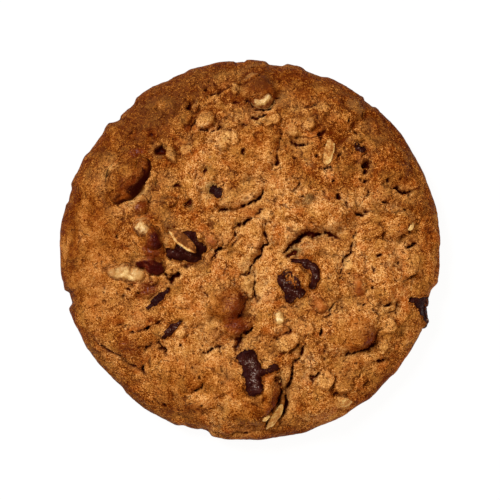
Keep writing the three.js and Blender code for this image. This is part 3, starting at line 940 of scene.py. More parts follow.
def sample(field, x, y):
    """A field of the map at given places."""
    column = np.clip((np.asarray(x) - steps[0]) / MAP_STEP, 0, steps.size - 1.001)
    row = np.clip((np.asarray(y) - steps[0]) / MAP_STEP, 0, steps.size - 1.001)
    i, j = column.astype(int), row.astype(int)
    across, up = column - i, row - j
    below = mix(field[j, i], field[j, i + 1], across)
    above = mix(field[j + 1, i], field[j + 1, i + 1], across)
    return mix(below, above, up)


def window(points, margin):
    """The part of the map around some points."""
    low = np.clip((np.min(points, axis=0) - margin - steps[0]) / MAP_STEP, 0, steps.size).astype(int)
    high = np.clip((np.max(points, axis=0) + margin - steps[0]) / MAP_STEP, 0, steps.size).astype(int)
    return slice(low[1], high[1] + 1), slice(low[0], high[0] + 1)


def ellipse_distance(x, y, centre, half, turn):
    """1 on the edge of a turned ellipse, less inside."""
    cos, sin = math.cos(math.radians(turn)), math.sin(math.radians(turn))
    dx, dy = x - centre[0], y - centre[1]
    return np.hypot((dx * cos + dy * sin) / half[0], (dy * cos - dx * sin) / half[1])


def route_distance(x, y, route):
    """Distance to a route, and the share of its length at the nearest point."""
    lengths = np.hypot(*np.diff(route, axis=0).T)
    starts = np.concatenate(((0,), np.cumsum(lengths)))
    nearest = np.full(x.shape, np.inf)
    share = np.zeros(x.shape)
    for start, end, before, length in zip(route, route[1:], starts, lengths):
        run = (end - start) / length
        step = np.clip((x - start[0]) * run[0] + (y - start[1]) * run[1], 0, length)
        distance = np.hypot(x - start[0] - run[0] * step, y - start[1] - run[1] * step)
        closer = distance < nearest
        nearest = np.where(closer, distance, nearest)
        share = np.where(closer, (before + step) / starts[-1], share)
    return nearest, share


def stamp_ellipse(field, place, half, turn, amount, inner, edge="smooth"):
    """Adds a soft-edged ellipse to a field of the map."""
    centre, reach = on_map(place), np.array(half) * UNIT
    part = window((centre,), reach.max() + STAMP_MARGIN)
    distance = ellipse_distance(*edge_part(edge, part), centre, reach, turn)
    field[part] += amount * (1 - smoothstep(distance, inner, 1))


def stamp_all(field, patches, **shape):
    """Adds every ellipse of a table to a field of the map."""
    for place, half, turn, amount in patches:
        stamp_ellipse(field, place, half, turn, amount, **shape)


def stamp_leaning(field, place, half, turn, lift, facing, inner, lean, groove):
    """Adds an ellipse that leans, so that its edge on the facing side stands clear over a groove."""
    centre, reach = on_map(place), np.array(half) * UNIT
    part = window((centre,), LEANING_REACH * reach.max() + STAMP_MARGIN)
    x, y = edge_part("uneven", part)
    distance = ellipse_distance(x, y, centre, reach, turn)
    ahead = math.radians(facing)
    out = math.cos(ahead) * (x - centre[0]) + math.sin(ahead) * (y - centre[1])
    out = np.clip(out / reach.max(), -LEANING_MOST, LEANING_MOST)
    field[part] += lift * (1 + lean * out) * (1 - smoothstep(distance, inner, 1))
    cut = bell(distance - EDGE_GROOVE["place"], EDGE_GROOVE["width"])
    field[part] -= groove * lift * np.clip(out, 0, 1) * cut


# Fields of the map: the relief, and the tones that the materials blend, painted shade among them
height, pale, red, toast_and_shade, painted_shade = np.zeros((5, *map_x.shape))

# Most of the dough is craggy, and the left side and parts of the rim spread smoother in the oven.
craggy = 1 + layered_noise(map_x, map_y, CRAGGY_NOISE)
for place, half, turn, share in SMOOTHED:
    stamp_ellipse(craggy, place, half, turn, -share, **SMOOTHED_EDGE)
craggy = np.clip(craggy, *CRAGGY_RANGE)

# Round lumps of several sizes with creases between them
for size, rise, seed in BILLOWS:
    height += craggy * rise * (np.abs(gradient_noise(*EDGES["rounded"], size, seed)) - BILLOW_LEVEL)

# Broken plates of crust that lean and step against each other, with open joints here and there
for size, lean_slope, step_height, seed in SHARDS:
    near, far, number, lean = cells(*EDGES["broken"], size, seed)
    joint_open = smoothstep(gradient_noise(map_x, map_y, size, seed + 1), *JOINT["opens"])
    joint_noise = gradient_noise(map_x, map_y, JOINT["over"], seed + 2)
    joint_width = (JOINT["width"] + JOINT["varies"] * joint_noise) / size
    joint = bell(far - near, np.maximum(joint_width, JOINT["least"])) * joint_open
    tilted = lean_slope * size * lean + step_height * (number - 0.5)
    height += craggy * (blurred(tilted, SHARD_BLUR) - JOINT["depth"] * step_height * joint)

for place, half, turn, rise in MOUNDS:
    stamp_leaning(height, place, half, turn, rise, FACING, **MOUND_EDGE)


def loose_plates(random):
    """Oat flakes scattered over the crust, fainter where it is smooth."""
    for _ in range(LOOSE_PLATES["count"]):
        reach, angle = LOOSE_PLATES["spread"] * math.sqrt(random.uniform()), random.uniform(0, 2 * math.pi)
        place = (PLAN_CENTRE + reach * math.cos(angle), PLAN_CENTRE + reach * math.sin(angle))
        scale = random.uniform(*LOOSE_PLATES["scale"])
        half = tuple(scale * size for size in LOOSE_PLATES["half"])
        shows = float(sample(craggy, *on_map(place)))
        lift = LOOSE_PLATES["lift"] * random.uniform(*LOOSE_PLATES["lift_range"]) * shows
        paleness = LOOSE_PLATES["pale"] * random.uniform(*LOOSE_PLATES["pale_range"]) * shows
        yield place, half, random.uniform(0, 360), lift, paleness


# Oat flakes in the crust: raised plates with a clear edge
plate_random = np.random.default_rng(LOOSE_PLATES["seed"])
for place, half, turn, lift, paleness in PLATES + tuple(loose_plates(plate_random)):
    facing = FACING + plate_random.uniform(-PLATE_TURN, PLATE_TURN)
    stamp_leaning(height, place, half, turn, lift, facing, **PLATE_EDGE)
    stamp_ellipse(pale, place, half, turn, paleness, **FLAKE_TINT_EDGE)

# Crumb: grains and ragged pits
near, _, number, _ = cells(*EDGES["ragged"], GRAIN["across"], GRAIN["seed"])
height += craggy * (GRAIN["rise"] * (0.5 - near) + GRAIN["step"] * blurred(number - 0.5, GRAIN["blur"]))
height += FINE_GRAIN["rise"] * (0.5 - cells(map_x, map_y, FINE_GRAIN["across"], FINE_GRAIN["seed"])[0])
porous = sum(layered_noise(*EDGES[edge], (layer,)) for edge, *layer in PIT_NOISE)
height -= PITS["depth"] * smoothstep(porous, *PITS["opens"]) * craggy

# Cracks: open along a ragged route, wider and narrower by turns, and closing at both ends, with painted
# shade inside
for half_width, depth, route in CRACKS:
    line = np.array([on_map(place) for place in route])
    part = window(line, CRACK_MARGIN)
    x, y = edge_part("ragged", part)
    distance, share = route_distance(x, y, line)
    taper = np.sin(np.pi * np.clip(share, *CRACK["ends"])) ** 0.5
    broken = layered_noise(map_x[part], map_y[part], CRACK_NOISE)
    taper *= np.clip(1 + CRACK["broken"] * broken, *CRACK["opening"])
    opening = taper * bell(distance, CRACK["narrowing"] * half_width * UNIT * taper)
    height[part] -= depth * opening
    painted_shade[part] = np.maximum(painted_shade[part], CRACK["painted_shade"] * opening)
    # Painted shade: the upper-left shoulder reddens where it drops into the crack
    upper_left = route_distance(x + CRACK_LIP, y - CRACK_LIP, line)[0]
    shoulder = taper * bell(upper_left, CRACK_SHOULDER["reach"])
    height[part] -= CRACK_SHOULDER["drop"] * depth * shoulder
    red[part] += CRACK_SHOULDER["red"] * shoulder
    lower_right = route_distance(x - CRACK_LIP, y + CRACK_LIP, line)[0]
    pale[part] += CRACK_EDGE["pale"] * taper * bell(lower_right, CRACK_EDGE["reach"])
# Hollows sink and get painted shade
for place, half, turn, depth in HOLLOWS:
    stamp_ellipse(height, place, half, turn, -depth, **HOLLOW_EDGE)
    stamp_ellipse(painted_shade, place, half, turn, HOLLOW_PAINTED_SHADE, **HOLLOW_EDGE)

# Browning: pale golden in the middle and darker to the rim; by direction, darkest at the upper left and
# paler to the right and at the bottom
toast_and_shade += np.interp(plan_reach, *RIM_BROWNING)
direction = np.degrees(np.arctan2(map_y, map_x)) % 360
toast_and_shade += smoothstep(plan_reach, *SIDE_SPAN) * np.interp(direction, *SIDE_TONE)
toast_and_shade += layered_noise(map_x, map_y, TOAST_NOISE)
# Some of these patches are painted shadows beside pieces, lumps and creases
stamp_all(toast_and_shade, TOASTED_AND_SHADED, **TOASTED_EDGE)
toast_and_shade = np.minimum(toast_and_shade, DARKEST_TOAST)
stamp_all(red, REDDENED_AND_SHADED, **REDDENED_EDGE)
stamp_all(pale, PALED, **PALED_EDGE)

# The side is smoother than the top.
height *= 1 - rising(plan_reach, *SIDE_SMOOTHING)
height *= 1 - smoothstep(map_reach / CRUST_LENGTH, FOOT_FADE, 1)

# The tops of lumps are browner, and pale crumb shows between them.
rounded, levelled = (blurred(height, reach) for reach in LUMP_BLUR)
lumps = rounded - levelled
toast_and_shade += rising(lumps, *LUMP_BROWNING)
pale += rising(-lumps, *LUMP_PALENESS)

# Painted shade: lumps are redder on the side to the lower right, away from the light, where they drop to
# the next one.
slope_y, slope_x = np.gradient(rounded, MAP_STEP)
red += rising((slope_y - slope_x) / math.sqrt(2), *SLOPE_PAINTED_SHADE)

# Chocolate and walnut stand out of the dough along their strokes, and the dough gives way to them there.
ground = blurred(height, GROUND_BLUR)


def stroke_gap(x, y, strokes):
    """Distance outside the strokes, less than nothing inside."""
    gap = np.full(x.shape, np.inf)
    for half_width, route in strokes:
        line = np.array([on_map(point) for point in route])
        gap = np.minimum(gap, route_distance(x, y, line)[0] - half_width * UNIT)
    return gap


def piece_gap(x, y, strokes):
    """Distance outside the uneven outline of a piece, less than nothing inside."""
    uneven = np.clip(strokes[0][0] / FULL_WIDTH, LEAST_UNEVEN, 1)
    amounts, seed = PIECE_WANDER
    scaled = [(shift * uneven, cell) for shift, cell in amounts]
    return stroke_gap(*warped(x, y, scaled, seed), strokes)


def piece_patches(x, y, patches, inner):
    """How far patches reach over a piece, from 0 to 1."""
    reached = np.zeros(x.shape)
    x, y = warped(x, y, *PATCH_WANDER)
    for place, half, turn, share in patches:
        distance = ellipse_distance(x, y, on_map(place), np.array(half) * UNIT, turn)
        reached = np.maximum(reached, share * (1 - smoothstep(distance, inner, 1)))
    return reached


def piece_cover(x, y, name):
    """Share of dough that lies over a piece."""
    return piece_patches(x, y, COVERS.get(name, ()), PATCH_INNER["cover"])


def piece_top(x, y, name):
    """Height of the upper face of a piece over the smooth crust."""
    _, proud, strokes = PIECES[name]
    gap = piece_gap(x, y, strokes)
    rounding = np.clip(ROUNDING_SHARE * strokes[0][0] * UNIT, *PIECE_ROUNDING)
    inside = np.clip(-gap / rounding, 0, 1)
    rise = proud * np.sqrt(1 - (1 - inside) ** 2) - PIECE_SINK * smoothstep(gap, 0, 1)
    rise += COVER_RISE * piece_cover(x, y, name) + layered_noise(x, y, PIECE_NOISE)
    return sample(ground, x, y) + rise


def piece_extent(strokes):
    """Middle and half size, on the map, of the box around the strokes of a piece."""
    ends = []
    for half_width, route in strokes:
        ends += [on_map(point) + sign * half_width * UNIT for point in route for sign in (-1, 1)]
    low, high = np.min(ends, axis=0), np.max(ends, axis=0)
    return (low + high) / 2, (high - low) / 2


def piece_kind(name):
    return name.split("_")[0]


surface = height.copy()
for name, (_, _, strokes) in PIECES.items():
    centre, reach = piece_extent(strokes)
    part = window((centre - reach, centre + reach), STAMP_MARGIN)
    gap = stroke_gap(*edge_part("uneven", part), strokes)
    height[part] -= (height[part] - ground[part] + PIECE_SINK) * (1 - smoothstep(gap, *POCKET_EDGE))
    height[part] -= GROOVE[piece_kind(name)] * bell(gap, GROOVE_WIDTH)
    surface[part] = np.maximum(height[part], piece_top(map_x[part], map_y[part], name))

# Painted shade: darker in cracks and hollows, and wherever the crust lies below the ground around it
painted_hollow_shade = painted_shade.copy()
for share, around, reach, least, full in HOLLOW_SHADING:
    below = blurred(height, around) - blurred(height, reach)
    painted_hollow_shade += share * np.clip((below - least) / full, 0, 1)
# Painted highlight on the tops of small ridges
ridge_highlight = np.clip((height - blurred(height, RIDGE_HIGHLIGHT["reach"])) / RIDGE_HIGHLIGHT["full"], 0, 1)


def add_object(name, points, faces, material):
    """A mesh piece from points in millimetres, riding on the cookie."""
    mesh = bpy.data.meshes.new(name)
    mesh.from_pydata((np.asarray(points) * METRE).tolist(), [], [tuple(face) for face in faces])
    mesh.validate()
    mesh.materials.append(material)
    mesh.shade_smooth()
    piece = bpy.data.objects.new(name, mesh)
    bpy.context.scene.collection.objects.link(piece)
    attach(piece, "root")
    return piece


def set_attribute(piece, name, values):
    """A colour for each point of a piece, which its material reads."""
    layer = piece.data.attributes.new(name, "FLOAT_COLOR", "POINT")
    layer.data.foreach_set("color", np.asarray(values, np.float32).ravel())


# Materials

DOUGH_BROWNING = (
    (0.0, (0.80, 0.45, 0.17)),
    (0.28, (0.60, 0.25, 0.06)),
    (0.5, (0.42, 0.149, 0.026)),
    (0.75, (0.235, 0.064, 0.004)),
    (1.0, (0.085, 0.012, 0.0003)),
)
DOUGH_TINTS = {
    "yellow": (0.45, 0.200, 0.038),
    "orange": (0.40, 0.092, 0.010),
    "speck": (0.70, 0.42, 0.19),
    "golden": (0.66, 0.36, 0.105),
    "stain": (0.15, 0.092, 0.028),
    "caramel_and_shade": (0.115, 0.012, 0.0006),
    "pore": (0.12, 0.016, 0.0008),
    "fine_pore": (0.09, 0.009, 0.0004),
    "split": (0.06, 0.005, 0.0003),
    "hollow_shade": (0.040, 0.003, 0.0002),
}
OAT_BROWNING = (
    (0.0, (0.78, 0.52, 0.20)),
    (0.4, (0.56, 0.26, 0.065)),
    (0.7, (0.36, 0.125, 0.022)),
    (1.0, (0.13, 0.034, 0.002)),
)


class Shader:
    """Short names for the nodes of one material."""

    def __init__(self, name):
        self.material = bpy.data.materials.new(name)
        self.material.use_nodes = True
        self.tree = self.material.node_tree
        self.surface = self.tree.nodes["Principled BSDF"]
        where = self.node("TexCoord", {}).outputs["Object"]
        scaled = self.node("VectorMath", {0: where, "Scale": 1 / METRE}, operation="SCALE")
        self.place = scaled.outputs["Vector"]

    def put(self, socket, value):
        if isinstance(value, bpy.types.NodeSocket):
            self.tree.links.new(value, socket)
        elif socket.type == "RGBA" and len(value) == 3:
            socket.default_value = (*value, 1)
        else:
            socket.default_value = value

    def node(self, kind, inputs, **settings):
        """A node of one kind, with a value or a link for each input."""
        made = self.tree.nodes.new("ShaderNode" + kind)
        for setting, value in settings.items():
            setattr(made, setting, value)
        for socket, value in inputs.items():
            self.put(made.inputs[socket], value)
        return made

    def noise(self, size, detail=2.0, roughness=0.55):
        inputs = {"Vector": self.place, "Scale": 1 / size, "Detail": detail, "Roughness": roughness}
        return self.node("TexNoise", inputs).outputs["Fac"]

    def cells(self, size, wander, feature):
        """Distance to the middle or the edge of ragged cells, in cells."""
        shift = self.node("TexNoise", {"Vector": self.place, "Scale": 1.6 / size, "Detail": 4.0})
        spread = (2 * wander, 2 * wander, 2 * wander)
        moved = {0: shift.outputs["Color"], 1: spread, 2: self.place}
        moved = self.node("VectorMath", moved, operation="MULTIPLY_ADD").outputs["Vector"]
        made = self.node("TexVoronoi", {"Scale": 1 / size, "Vector": moved}, feature=feature)
        return made.outputs["Distance"]

    def cracks(self, size, wander, width):
        """1 along the ragged joints between cells, in some places, and 0 elsewhere."""
        line = self.fit(self.cells(size, wander, "DISTANCE_TO_EDGE"), width, 0.3 * width)
        return self.times(line, self.fit(self.noise(0.9 * size), 0.56, 0.64))

    def math(self, operation, first, second, clamp=False):
        return self.node("Math", {0: first, 1: second}, operation=operation, use_clamp=clamp).outputs[0]

    def times(self, first, second, clamp=False):
        return self.math("MULTIPLY", first, second, clamp)

    def plus(self, first, second):
        return self.math("ADD", first, second)

    def minus(self, first, second):
        return self.math("SUBTRACT", first, second)

    def fit(self, value, low, high, start=0.0, end=1.0):
        inputs = {"Value": value, "From Min": low, "From Max": high, "To Min": start, "To Max": end}
        return self.node("MapRange", inputs).outputs["Result"]

    def blend(self, share, first, second):
        return self.node("Mix", {0: share, 6: first, 7: second}, data_type="RGBA").outputs[2]

    def ramp(self, value, stops):
        made = self.node("ValToRGB", {"Fac": value})
        elements = made.color_ramp.elements
        while len(elements) < len(stops):
            elements.new(0.5)
        for element, (position, colour) in zip(elements, stops):
            element.position = position
            element.color = (*colour, 1)
        return made.outputs["Color"]

    def attribute(self, name):
        made = self.node("Attribute", {}, attribute_name=name)
        parts = self.node("SeparateColor", {"Color": made.outputs["Color"]})
        return parts.outputs["Red"], parts.outputs["Green"], parts.outputs["Blue"], made.outputs["Alpha"]

    def finish(self, colour, roughness, bump, distance, specular):
        raised = self.node("Bump", {"Strength": 1.0, "Distance": distance * METRE, "Height": bump})
        self.put(self.surface.inputs["Normal"], raised.outputs["Normal"])
        self.put(self.surface.inputs["Base Color"], colour)
        self.put(self.surface.inputs["Roughness"], roughness)
        self.put(self.surface.inputs["Specular IOR Level"], specular)
        return self.material


def dough_colour(shader):
    """Of dough: its colour, its grain, how red it is, partly with painted shade, and a last tone, read by
    each material anew: painted shade on the dough, a film on a piece.
    """
    toasted, paleness, redness, last = shader.attribute("crust")
    coarse = shader.fit(shader.attribute("detail")[0], 0.2, 1.0, 0.45, 1.1)
    grain = shader.noise(0.5, 2.0, 0.6)
    sand = shader.noise(0.25, 1.0)
    mottle = shader.noise(1.6, 3.0)
    tint = shader.noise(3.4, 2.0)
    crumb = shader.cells(0.8, 0.35, "F1")
    split = shader.math("MAXIMUM", shader.cracks(4.4, 1.6, 0.05), shader.cracks(2.1, 0.9, 0.07))

    # Browning, uneven with the grain
    golden = shader.times(paleness, 1.0, clamp=True)
    texture = shader.fit(grain, 0.3, 0.7, -0.14, 0.14)
    texture = shader.plus(texture, shader.fit(sand, 0.3, 0.7, -0.32, 0.36))
    texture = shader.plus(texture, shader.fit(crumb, 0.2, 0.8, -0.14, 0.14))
    browned = shader.plus(toasted, shader.fit(mottle, 0.3, 0.7, -0.14, 0.14))
    browned = shader.plus(browned, shader.times(texture, coarse))
    browned = shader.minus(browned, shader.times(golden, 0.3))
    colour = shader.ramp(browned, DOUGH_BROWNING)

    # Tints over it: how much of each, and its colour
    tinted = shader.times(coarse, shader.fit(toasted, 0.6, 1.0, 1.0, 0.35))
    specks = shader.fit(sand, 0.38, 0.30, 0.0, 0.4)
    reddened = shader.times(redness, shader.fit(grain, 0.3, 0.7, 0.7, 1.6), clamp=True)
    tints = {
        "yellow": shader.times(shader.fit(tint, 0.52, 0.68, 0.0, 0.5), tinted),
        "orange": shader.times(shader.fit(tint, 0.47, 0.33, 0.0, 0.45), tinted),
        "speck": shader.times(specks, shader.fit(toasted, 0.35, 0.75, 1.0, 0.0)),
        "golden": shader.times(golden, 0.65),
        "stain": shader.times(paleness, -1.0, clamp=True),
        # The red tint is caramelised dough, and also painted shade on lower-right slopes, crack shoulders
        # and shadow patches
        "caramel_and_shade": shader.times(reddened, 0.85),
        # Painted shade in pores, where the bump sinks
        "pore": shader.times(shader.fit(grain, 0.61, 0.71, 0.0, 0.58), coarse),
        "fine_pore": shader.times(shader.fit(sand, 0.61, 0.67, 0.0, 0.62), coarse),
        # Painted shade in hairline splits, where the bump sinks
        "split": shader.times(split, 0.7),
    }
    for name, share in tints.items():
        colour = shader.blend(share, colour, DOUGH_TINTS[name])

    fine = shader.minus(shader.times(sand, 0.5), grain)
    fine = shader.minus(fine, shader.times(split, 0.4))
    fine = shader.minus(fine, shader.times(crumb, 0.3))
    return colour, fine, reddened, last


def dough_material():
    """Dull crumb, darker with painted shade in its cracks and hollows, and with a sheen where it is red and
    caramelised.
    """
    shader = Shader("baked_dough")
    colour, fine, caramel_and_shade, depth = dough_colour(shader)
    # Painted shade: the last tone darkens cracks, hollows and dimples
    colour = shader.blend(shader.times(depth, 0.85, clamp=True), colour, DOUGH_TINTS["hollow_shade"])
    rough = shader.minus(shader.fit(fine, -0.4, 0.0, 0.6, 0.8), shader.times(caramel_and_shade, 0.35))
    return shader.finish(colour, rough, fine, 0.36, shader.fit(caramel_and_shade, 0.4, 1.0, 0.02, 0.08))


def piece_material(name, light, dark, dust_and_sheen, glint, roughness, specular, crumbly=False):
    """Chocolate or nut, flecked with dusting, painted sheen and painted glints, darker with painted shade
    towards its edges, under a film of dough where its attribute says so.
    """
    shader = Shader(name)
    dough, fine, _, film = dough_colour(shader)
    inner, shade = shader.attribute("detail")[1:3]
    veins = shader.noise(0.85, 4.0)
    patches = shader.noise(1.9, 3.0)
    colour = shader.blend(shader.fit(patches, 0.38, 0.62), light, dark)
    colour = shader.blend(shader.fit(veins, 0.52, 0.7, 0.0, 0.8), colour, dark)
    # Painted shade: darker towards the edge of the piece, where it sinks into the dough
    colour = shader.blend(shader.fit(inner, 0.0, 0.4, 0.85, 0.0), colour, dark)
    # Flecks of dusting and painted sheen, and painted glints where the flecks are brightest
    flecks = shader.plus(shader.noise(0.3, 1.0), shader.fit(patches, 0.36, 0.56, 0.08, -0.12))
    flecks = shader.plus(flecks, shader.fit(inner, 0.1, 0.8, -0.14, 0.06))
    colour = shader.blend(shader.fit(flecks, 0.54, 0.66, 0.0, 0.8), colour, dust_and_sheen)
    colour = shader.blend(shader.fit(flecks, 0.70, 0.78, 0.0, 0.8), colour, glint)
    colour = shader.blend(shade, colour, dark)
    if crumbly:
        film = shader.plus(film, shader.fit(shader.noise(0.5, 2.0), 0.3, 0.7, -0.45, 0.45))
        film = shader.fit(film, 0.38, 0.56)
    else:
        film = shader.times(film, shader.fit(veins, 0.3, 0.7, 0.4, 1.6), clamp=True)
    colour = shader.blend(film, colour, dough)
    rough = shader.fit(veins, 0.3, 0.7, roughness, roughness + 0.15)
    rough = shader.plus(rough, shader.times(film, 0.3))
    relief = shader.plus(veins, shader.times(fine, film))
    return shader.finish(colour, rough, relief, 0.5, specular)


def flake_material():
    """Rolled oat: fibres and patches of browning."""
    shader = Shader("rolled_oat")
    toasted = shader.attribute("crust")[0]
    fibre = shader.noise(0.45, 3.0)
    patches = shader.noise(1.6, 2.0)
    browned = shader.plus(toasted, shader.fit(fibre, 0.3, 0.7, -0.26, 0.26))
    browned = shader.plus(browned, shader.fit(patches, 0.35, 0.65, -0.26, 0.26))
    colour = shader.ramp(browned, OAT_BROWNING)
    return shader.finish(colour, shader.fit(fibre, 0.3, 0.7, 0.55, 0.75), fibre, 0.4, 0.15)


DOUGH = dough_material()
OAT = flake_material()
# Each look's flecks are partly painted sheen, and its glints are painted highlights
LOOKS = {
    "chocolate": piece_material(
        "dark_chocolate",
        light=(0.042, 0.007, 0.004),
        dark=(0.014, 0.0006, 0.0004),
        dust_and_sheen=(0.11, 0.062, 0.048),
        glint=(0.42, 0.34, 0.30),
        roughness=0.3,
        specular=0.04,
        crumbly=True,
    ),
    "nutmeat": piece_material(
        "walnut_meat",
        light=(0.82, 0.55, 0.22),
        dark=(0.44, 0.22, 0.06),
        dust_and_sheen=(0.90, 0.68, 0.35),
        glint=(0.95, 0.80, 0.50),
        roughness=0.45,
        specular=0.15,
    ),
    "toasted": piece_material(
        "walnut_toasted",
        light=(0.40, 0.11, 0.014),
        dark=(0.17, 0.034, 0.004),
        dust_and_sheen=(0.46, 0.15, 0.03),
        glint=(0.60, 0.28, 0.09),
        roughness=0.38,
        specular=0.1,
    ),
    "skin": piece_material(
        "walnut_skin",
        light=(0.105, 0.010, 0.001),
        dark=(0.030, 0.0006, 0.0003),
        dust_and_sheen=(0.22, 0.06, 0.025),
        glint=(0.50, 0.26, 0.17),
        roughness=0.25,
        specular=0.06,
    ),
    "glazed": piece_material(
        "walnut_glazed",
        light=(0.25, 0.055, 0.004),
        dark=(0.022, 0.0006, 0.0003),
        dust_and_sheen=(0.34, 0.10, 0.02),
        glint=(0.46, 0.20, 0.08),
        roughness=0.3,
        specular=0.03,
    ),
}

# The dough: the crust bent from a square grid, over a base of coarser squares


def disc_grid(count):
    """A square grid bent into a unit disc, row by row."""
    b, a = np.meshgrid(np.linspace(-1, 1, count + 1), np.linspace(-1, 1, count + 1), indexing="ij")
    wide = np.abs(a) > np.abs(b)
    reach = np.where(wide, a, b)
    safe_a, safe_b = np.where(a == 0, 1, a), np.where(b == 0, 1, b)
    angle = np.where(wide, np.pi / 4 * b / safe_a, np.pi / 2 - np.pi / 4 * a / safe_b)
    return (reach * np.cos(angle)).ravel(), (reach * np.sin(angle)).ravel()


def grid_faces(count):
    corner = np.arange(count)[:, None] * (count + 1) + np.arange(count)[None, :]
    corner = corner.ravel()
    return np.column_stack((corner, corner + 1, corner + count + 2, corner + count + 1))


def grid_rim(count):
    """The outer points of a square grid, counter-clockwise from its first corner."""
    edge = np.arange(count)
    row = count + 1
    return np.concatenate((edge, edge * row + count, count * row + count - edge, (count - edge) * row))


def base_disc():
    """Points and tones of the underside: flat, with shallow dimples darkened by painted shade, and
    blotches.
    """
    base_x, base_y = disc_grid(BASE_GRID)
    angle, reach = np.arctan2(base_y, base_x), np.hypot(base_x, base_y)
    edge = crust_point(np.cos(angle) * CRUST_LENGTH, np.sin(angle) * CRUST_LENGTH, 0 * angle)
    points = edge * (reach * BASE_INSET)[:, None]
    dimples = np.clip(gradient_noise(points[:, 0], points[:, 1], *DIMPLES), 0, 1)
    points[:, 2] = DIMPLE_DEPTH * dimples * (1 - smoothstep(reach, DIMPLE_FADE, 1))
    blotch = gradient_noise(points[:, 0], points[:, 1], *BLOTCHES)
    tones = np.zeros((len(points), 4))
    tones[:, 0] = BASE_TOAST["even"] + BASE_TOAST["blotch"] * blotch + rising(reach, *BASE_TOAST["rim"])
    # Painted shade in the dimples
    tones[:, 3] = DIMPLE_PAINTED_SHADE * dimples
    return points, tones


def seam(outer, inner):
    """Faces between two rims, one of which has a whole number of times as many points."""
    faces = []
    ratio = len(outer) // len(inner)
    for i, vertex in enumerate(outer):
        after = outer[(i + 1) % len(outer)]
        faces.append((vertex, inner[i // ratio], after))
        if (i + 1) % ratio == 0:
            faces.append((inner[i // ratio], inner[(i // ratio + 1) % len(inner)], after))
    return faces


def build_dough():
    x, y = disc_grid(CRUST_GRID)
    x, y = x * CRUST_LENGTH, y * CRUST_LENGTH
    points = crust_point(x, y, sample(height, x, y))
    crust_tones = np.column_stack([sample(field, x, y) for field in (toast_and_shade, pale, red, painted_hollow_shade)])
    # Painted highlight: ridges are paler
    crust_tones[:, 0] -= RIDGE_HIGHLIGHT["paleness"] * sample(ridge_highlight, x, y)
    base_points, base_tones = base_disc()

    first = len(points)
    faces = grid_faces(CRUST_GRID).tolist()
    faces += (grid_faces(BASE_GRID)[:, ::-1] + first).tolist()
    faces += seam(grid_rim(CRUST_GRID), grid_rim(BASE_GRID) + first)
    piece = add_object("dough_crust", np.vstack((points, base_points)), faces, DOUGH)
    set_attribute(piece, "crust", np.vstack((crust_tones, base_tones)))
    detail = np.full((len(points) + len(base_points), 4), SMOOTH_DETAIL)
    detail[:first, 0] = sample(craggy, x, y)
    set_attribute(piece, "detail", detail)
    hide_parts("dough")


def ball(rings, segments):
    """Angles of a ball's points, from its top and round it, and its faces."""
    down = np.linspace(0, np.pi, rings + 1)[1:-1]
    around = np.linspace(0, 2 * np.pi, segments, endpoint=False)
    polar, turn = (grid.ravel() for grid in np.meshgrid(down, around, indexing="ij"))
    polar, turn = np.concatenate(((0,), polar, (np.pi,))), np.concatenate(((0,), turn, (0,)))
    faces = []
    last = len(polar) - 1
    for j in range(segments):
        after = (j + 1) % segments
        faces.append((0, 1 + j, 1 + after))
        for i in range(rings - 2):
            row = 1 + i * segments
            faces.append((row + j, row + segments + j, row + segments + after, row + after))
        row = 1 + (rings - 2) * segments
        faces.append((row + j, last, row + after))
    return polar, turn, faces


def shifted(faces, first):
    """Faces whose points start at a later number."""
    return [tuple(first + corner for corner in face) for face in faces]


def build_pieces():
    polar, around, faces = ball(*PIECE_BALL)
    wide = 1 - np.abs(1 - polar / (np.pi / 2))
    flat = (1 - np.clip(wide, 0, 1) ** PIECE_SQUARENESS) ** (1 / PIECE_SQUARENESS)
    up = np.sign(np.pi / 2 - polar) * flat
    for name, (depth, _, strokes) in PIECES.items():
        centre, reach = piece_extent(strokes)
        x = centre[0] + PIECE_MARGIN * reach[0] * wide * np.cos(around)
        y = centre[1] + PIECE_MARGIN * reach[1] * wide * np.sin(around)
        middle = float(sample(ground, *centre)) - depth / 2
        bulk = middle + depth / 2 * up
        level = mix(bulk, piece_top(x, y, name), smoothstep(up, *PIECE_FACE))
        look = WALNUT_LOOKS.get(name, "chocolate")
        piece = add_object(f"{name}_look", crust_point(x, y, level), faces, LOOKS[look])
        fade, shift = FILM.get(name, FILM[look])
        half_width = strokes[0][0] * UNIT
        film = smoothstep(piece_gap(x - shift * UNIT, y + shift * UNIT, strokes) / half_width, -fade, 0)
        film = np.maximum(film, piece_cover(x, y, name)) * smoothstep(up, *FILM_SPAN)
        inner = np.clip(-piece_gap(x, y, strokes) / half_width, 0, 1)
        shade = piece_patches(x, y, SHADES.get(name, ()), PATCH_INNER["shade"])
        tones = [sample(field, x, y) for field in (toast_and_shade, pale, red)]
        set_attribute(piece, "crust", np.column_stack((*tones, film)))
        set_attribute(piece, "detail", np.column_stack((sample(craggy, x, y), inner, shade, shade)))
        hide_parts(name)
        piece_kind(name)


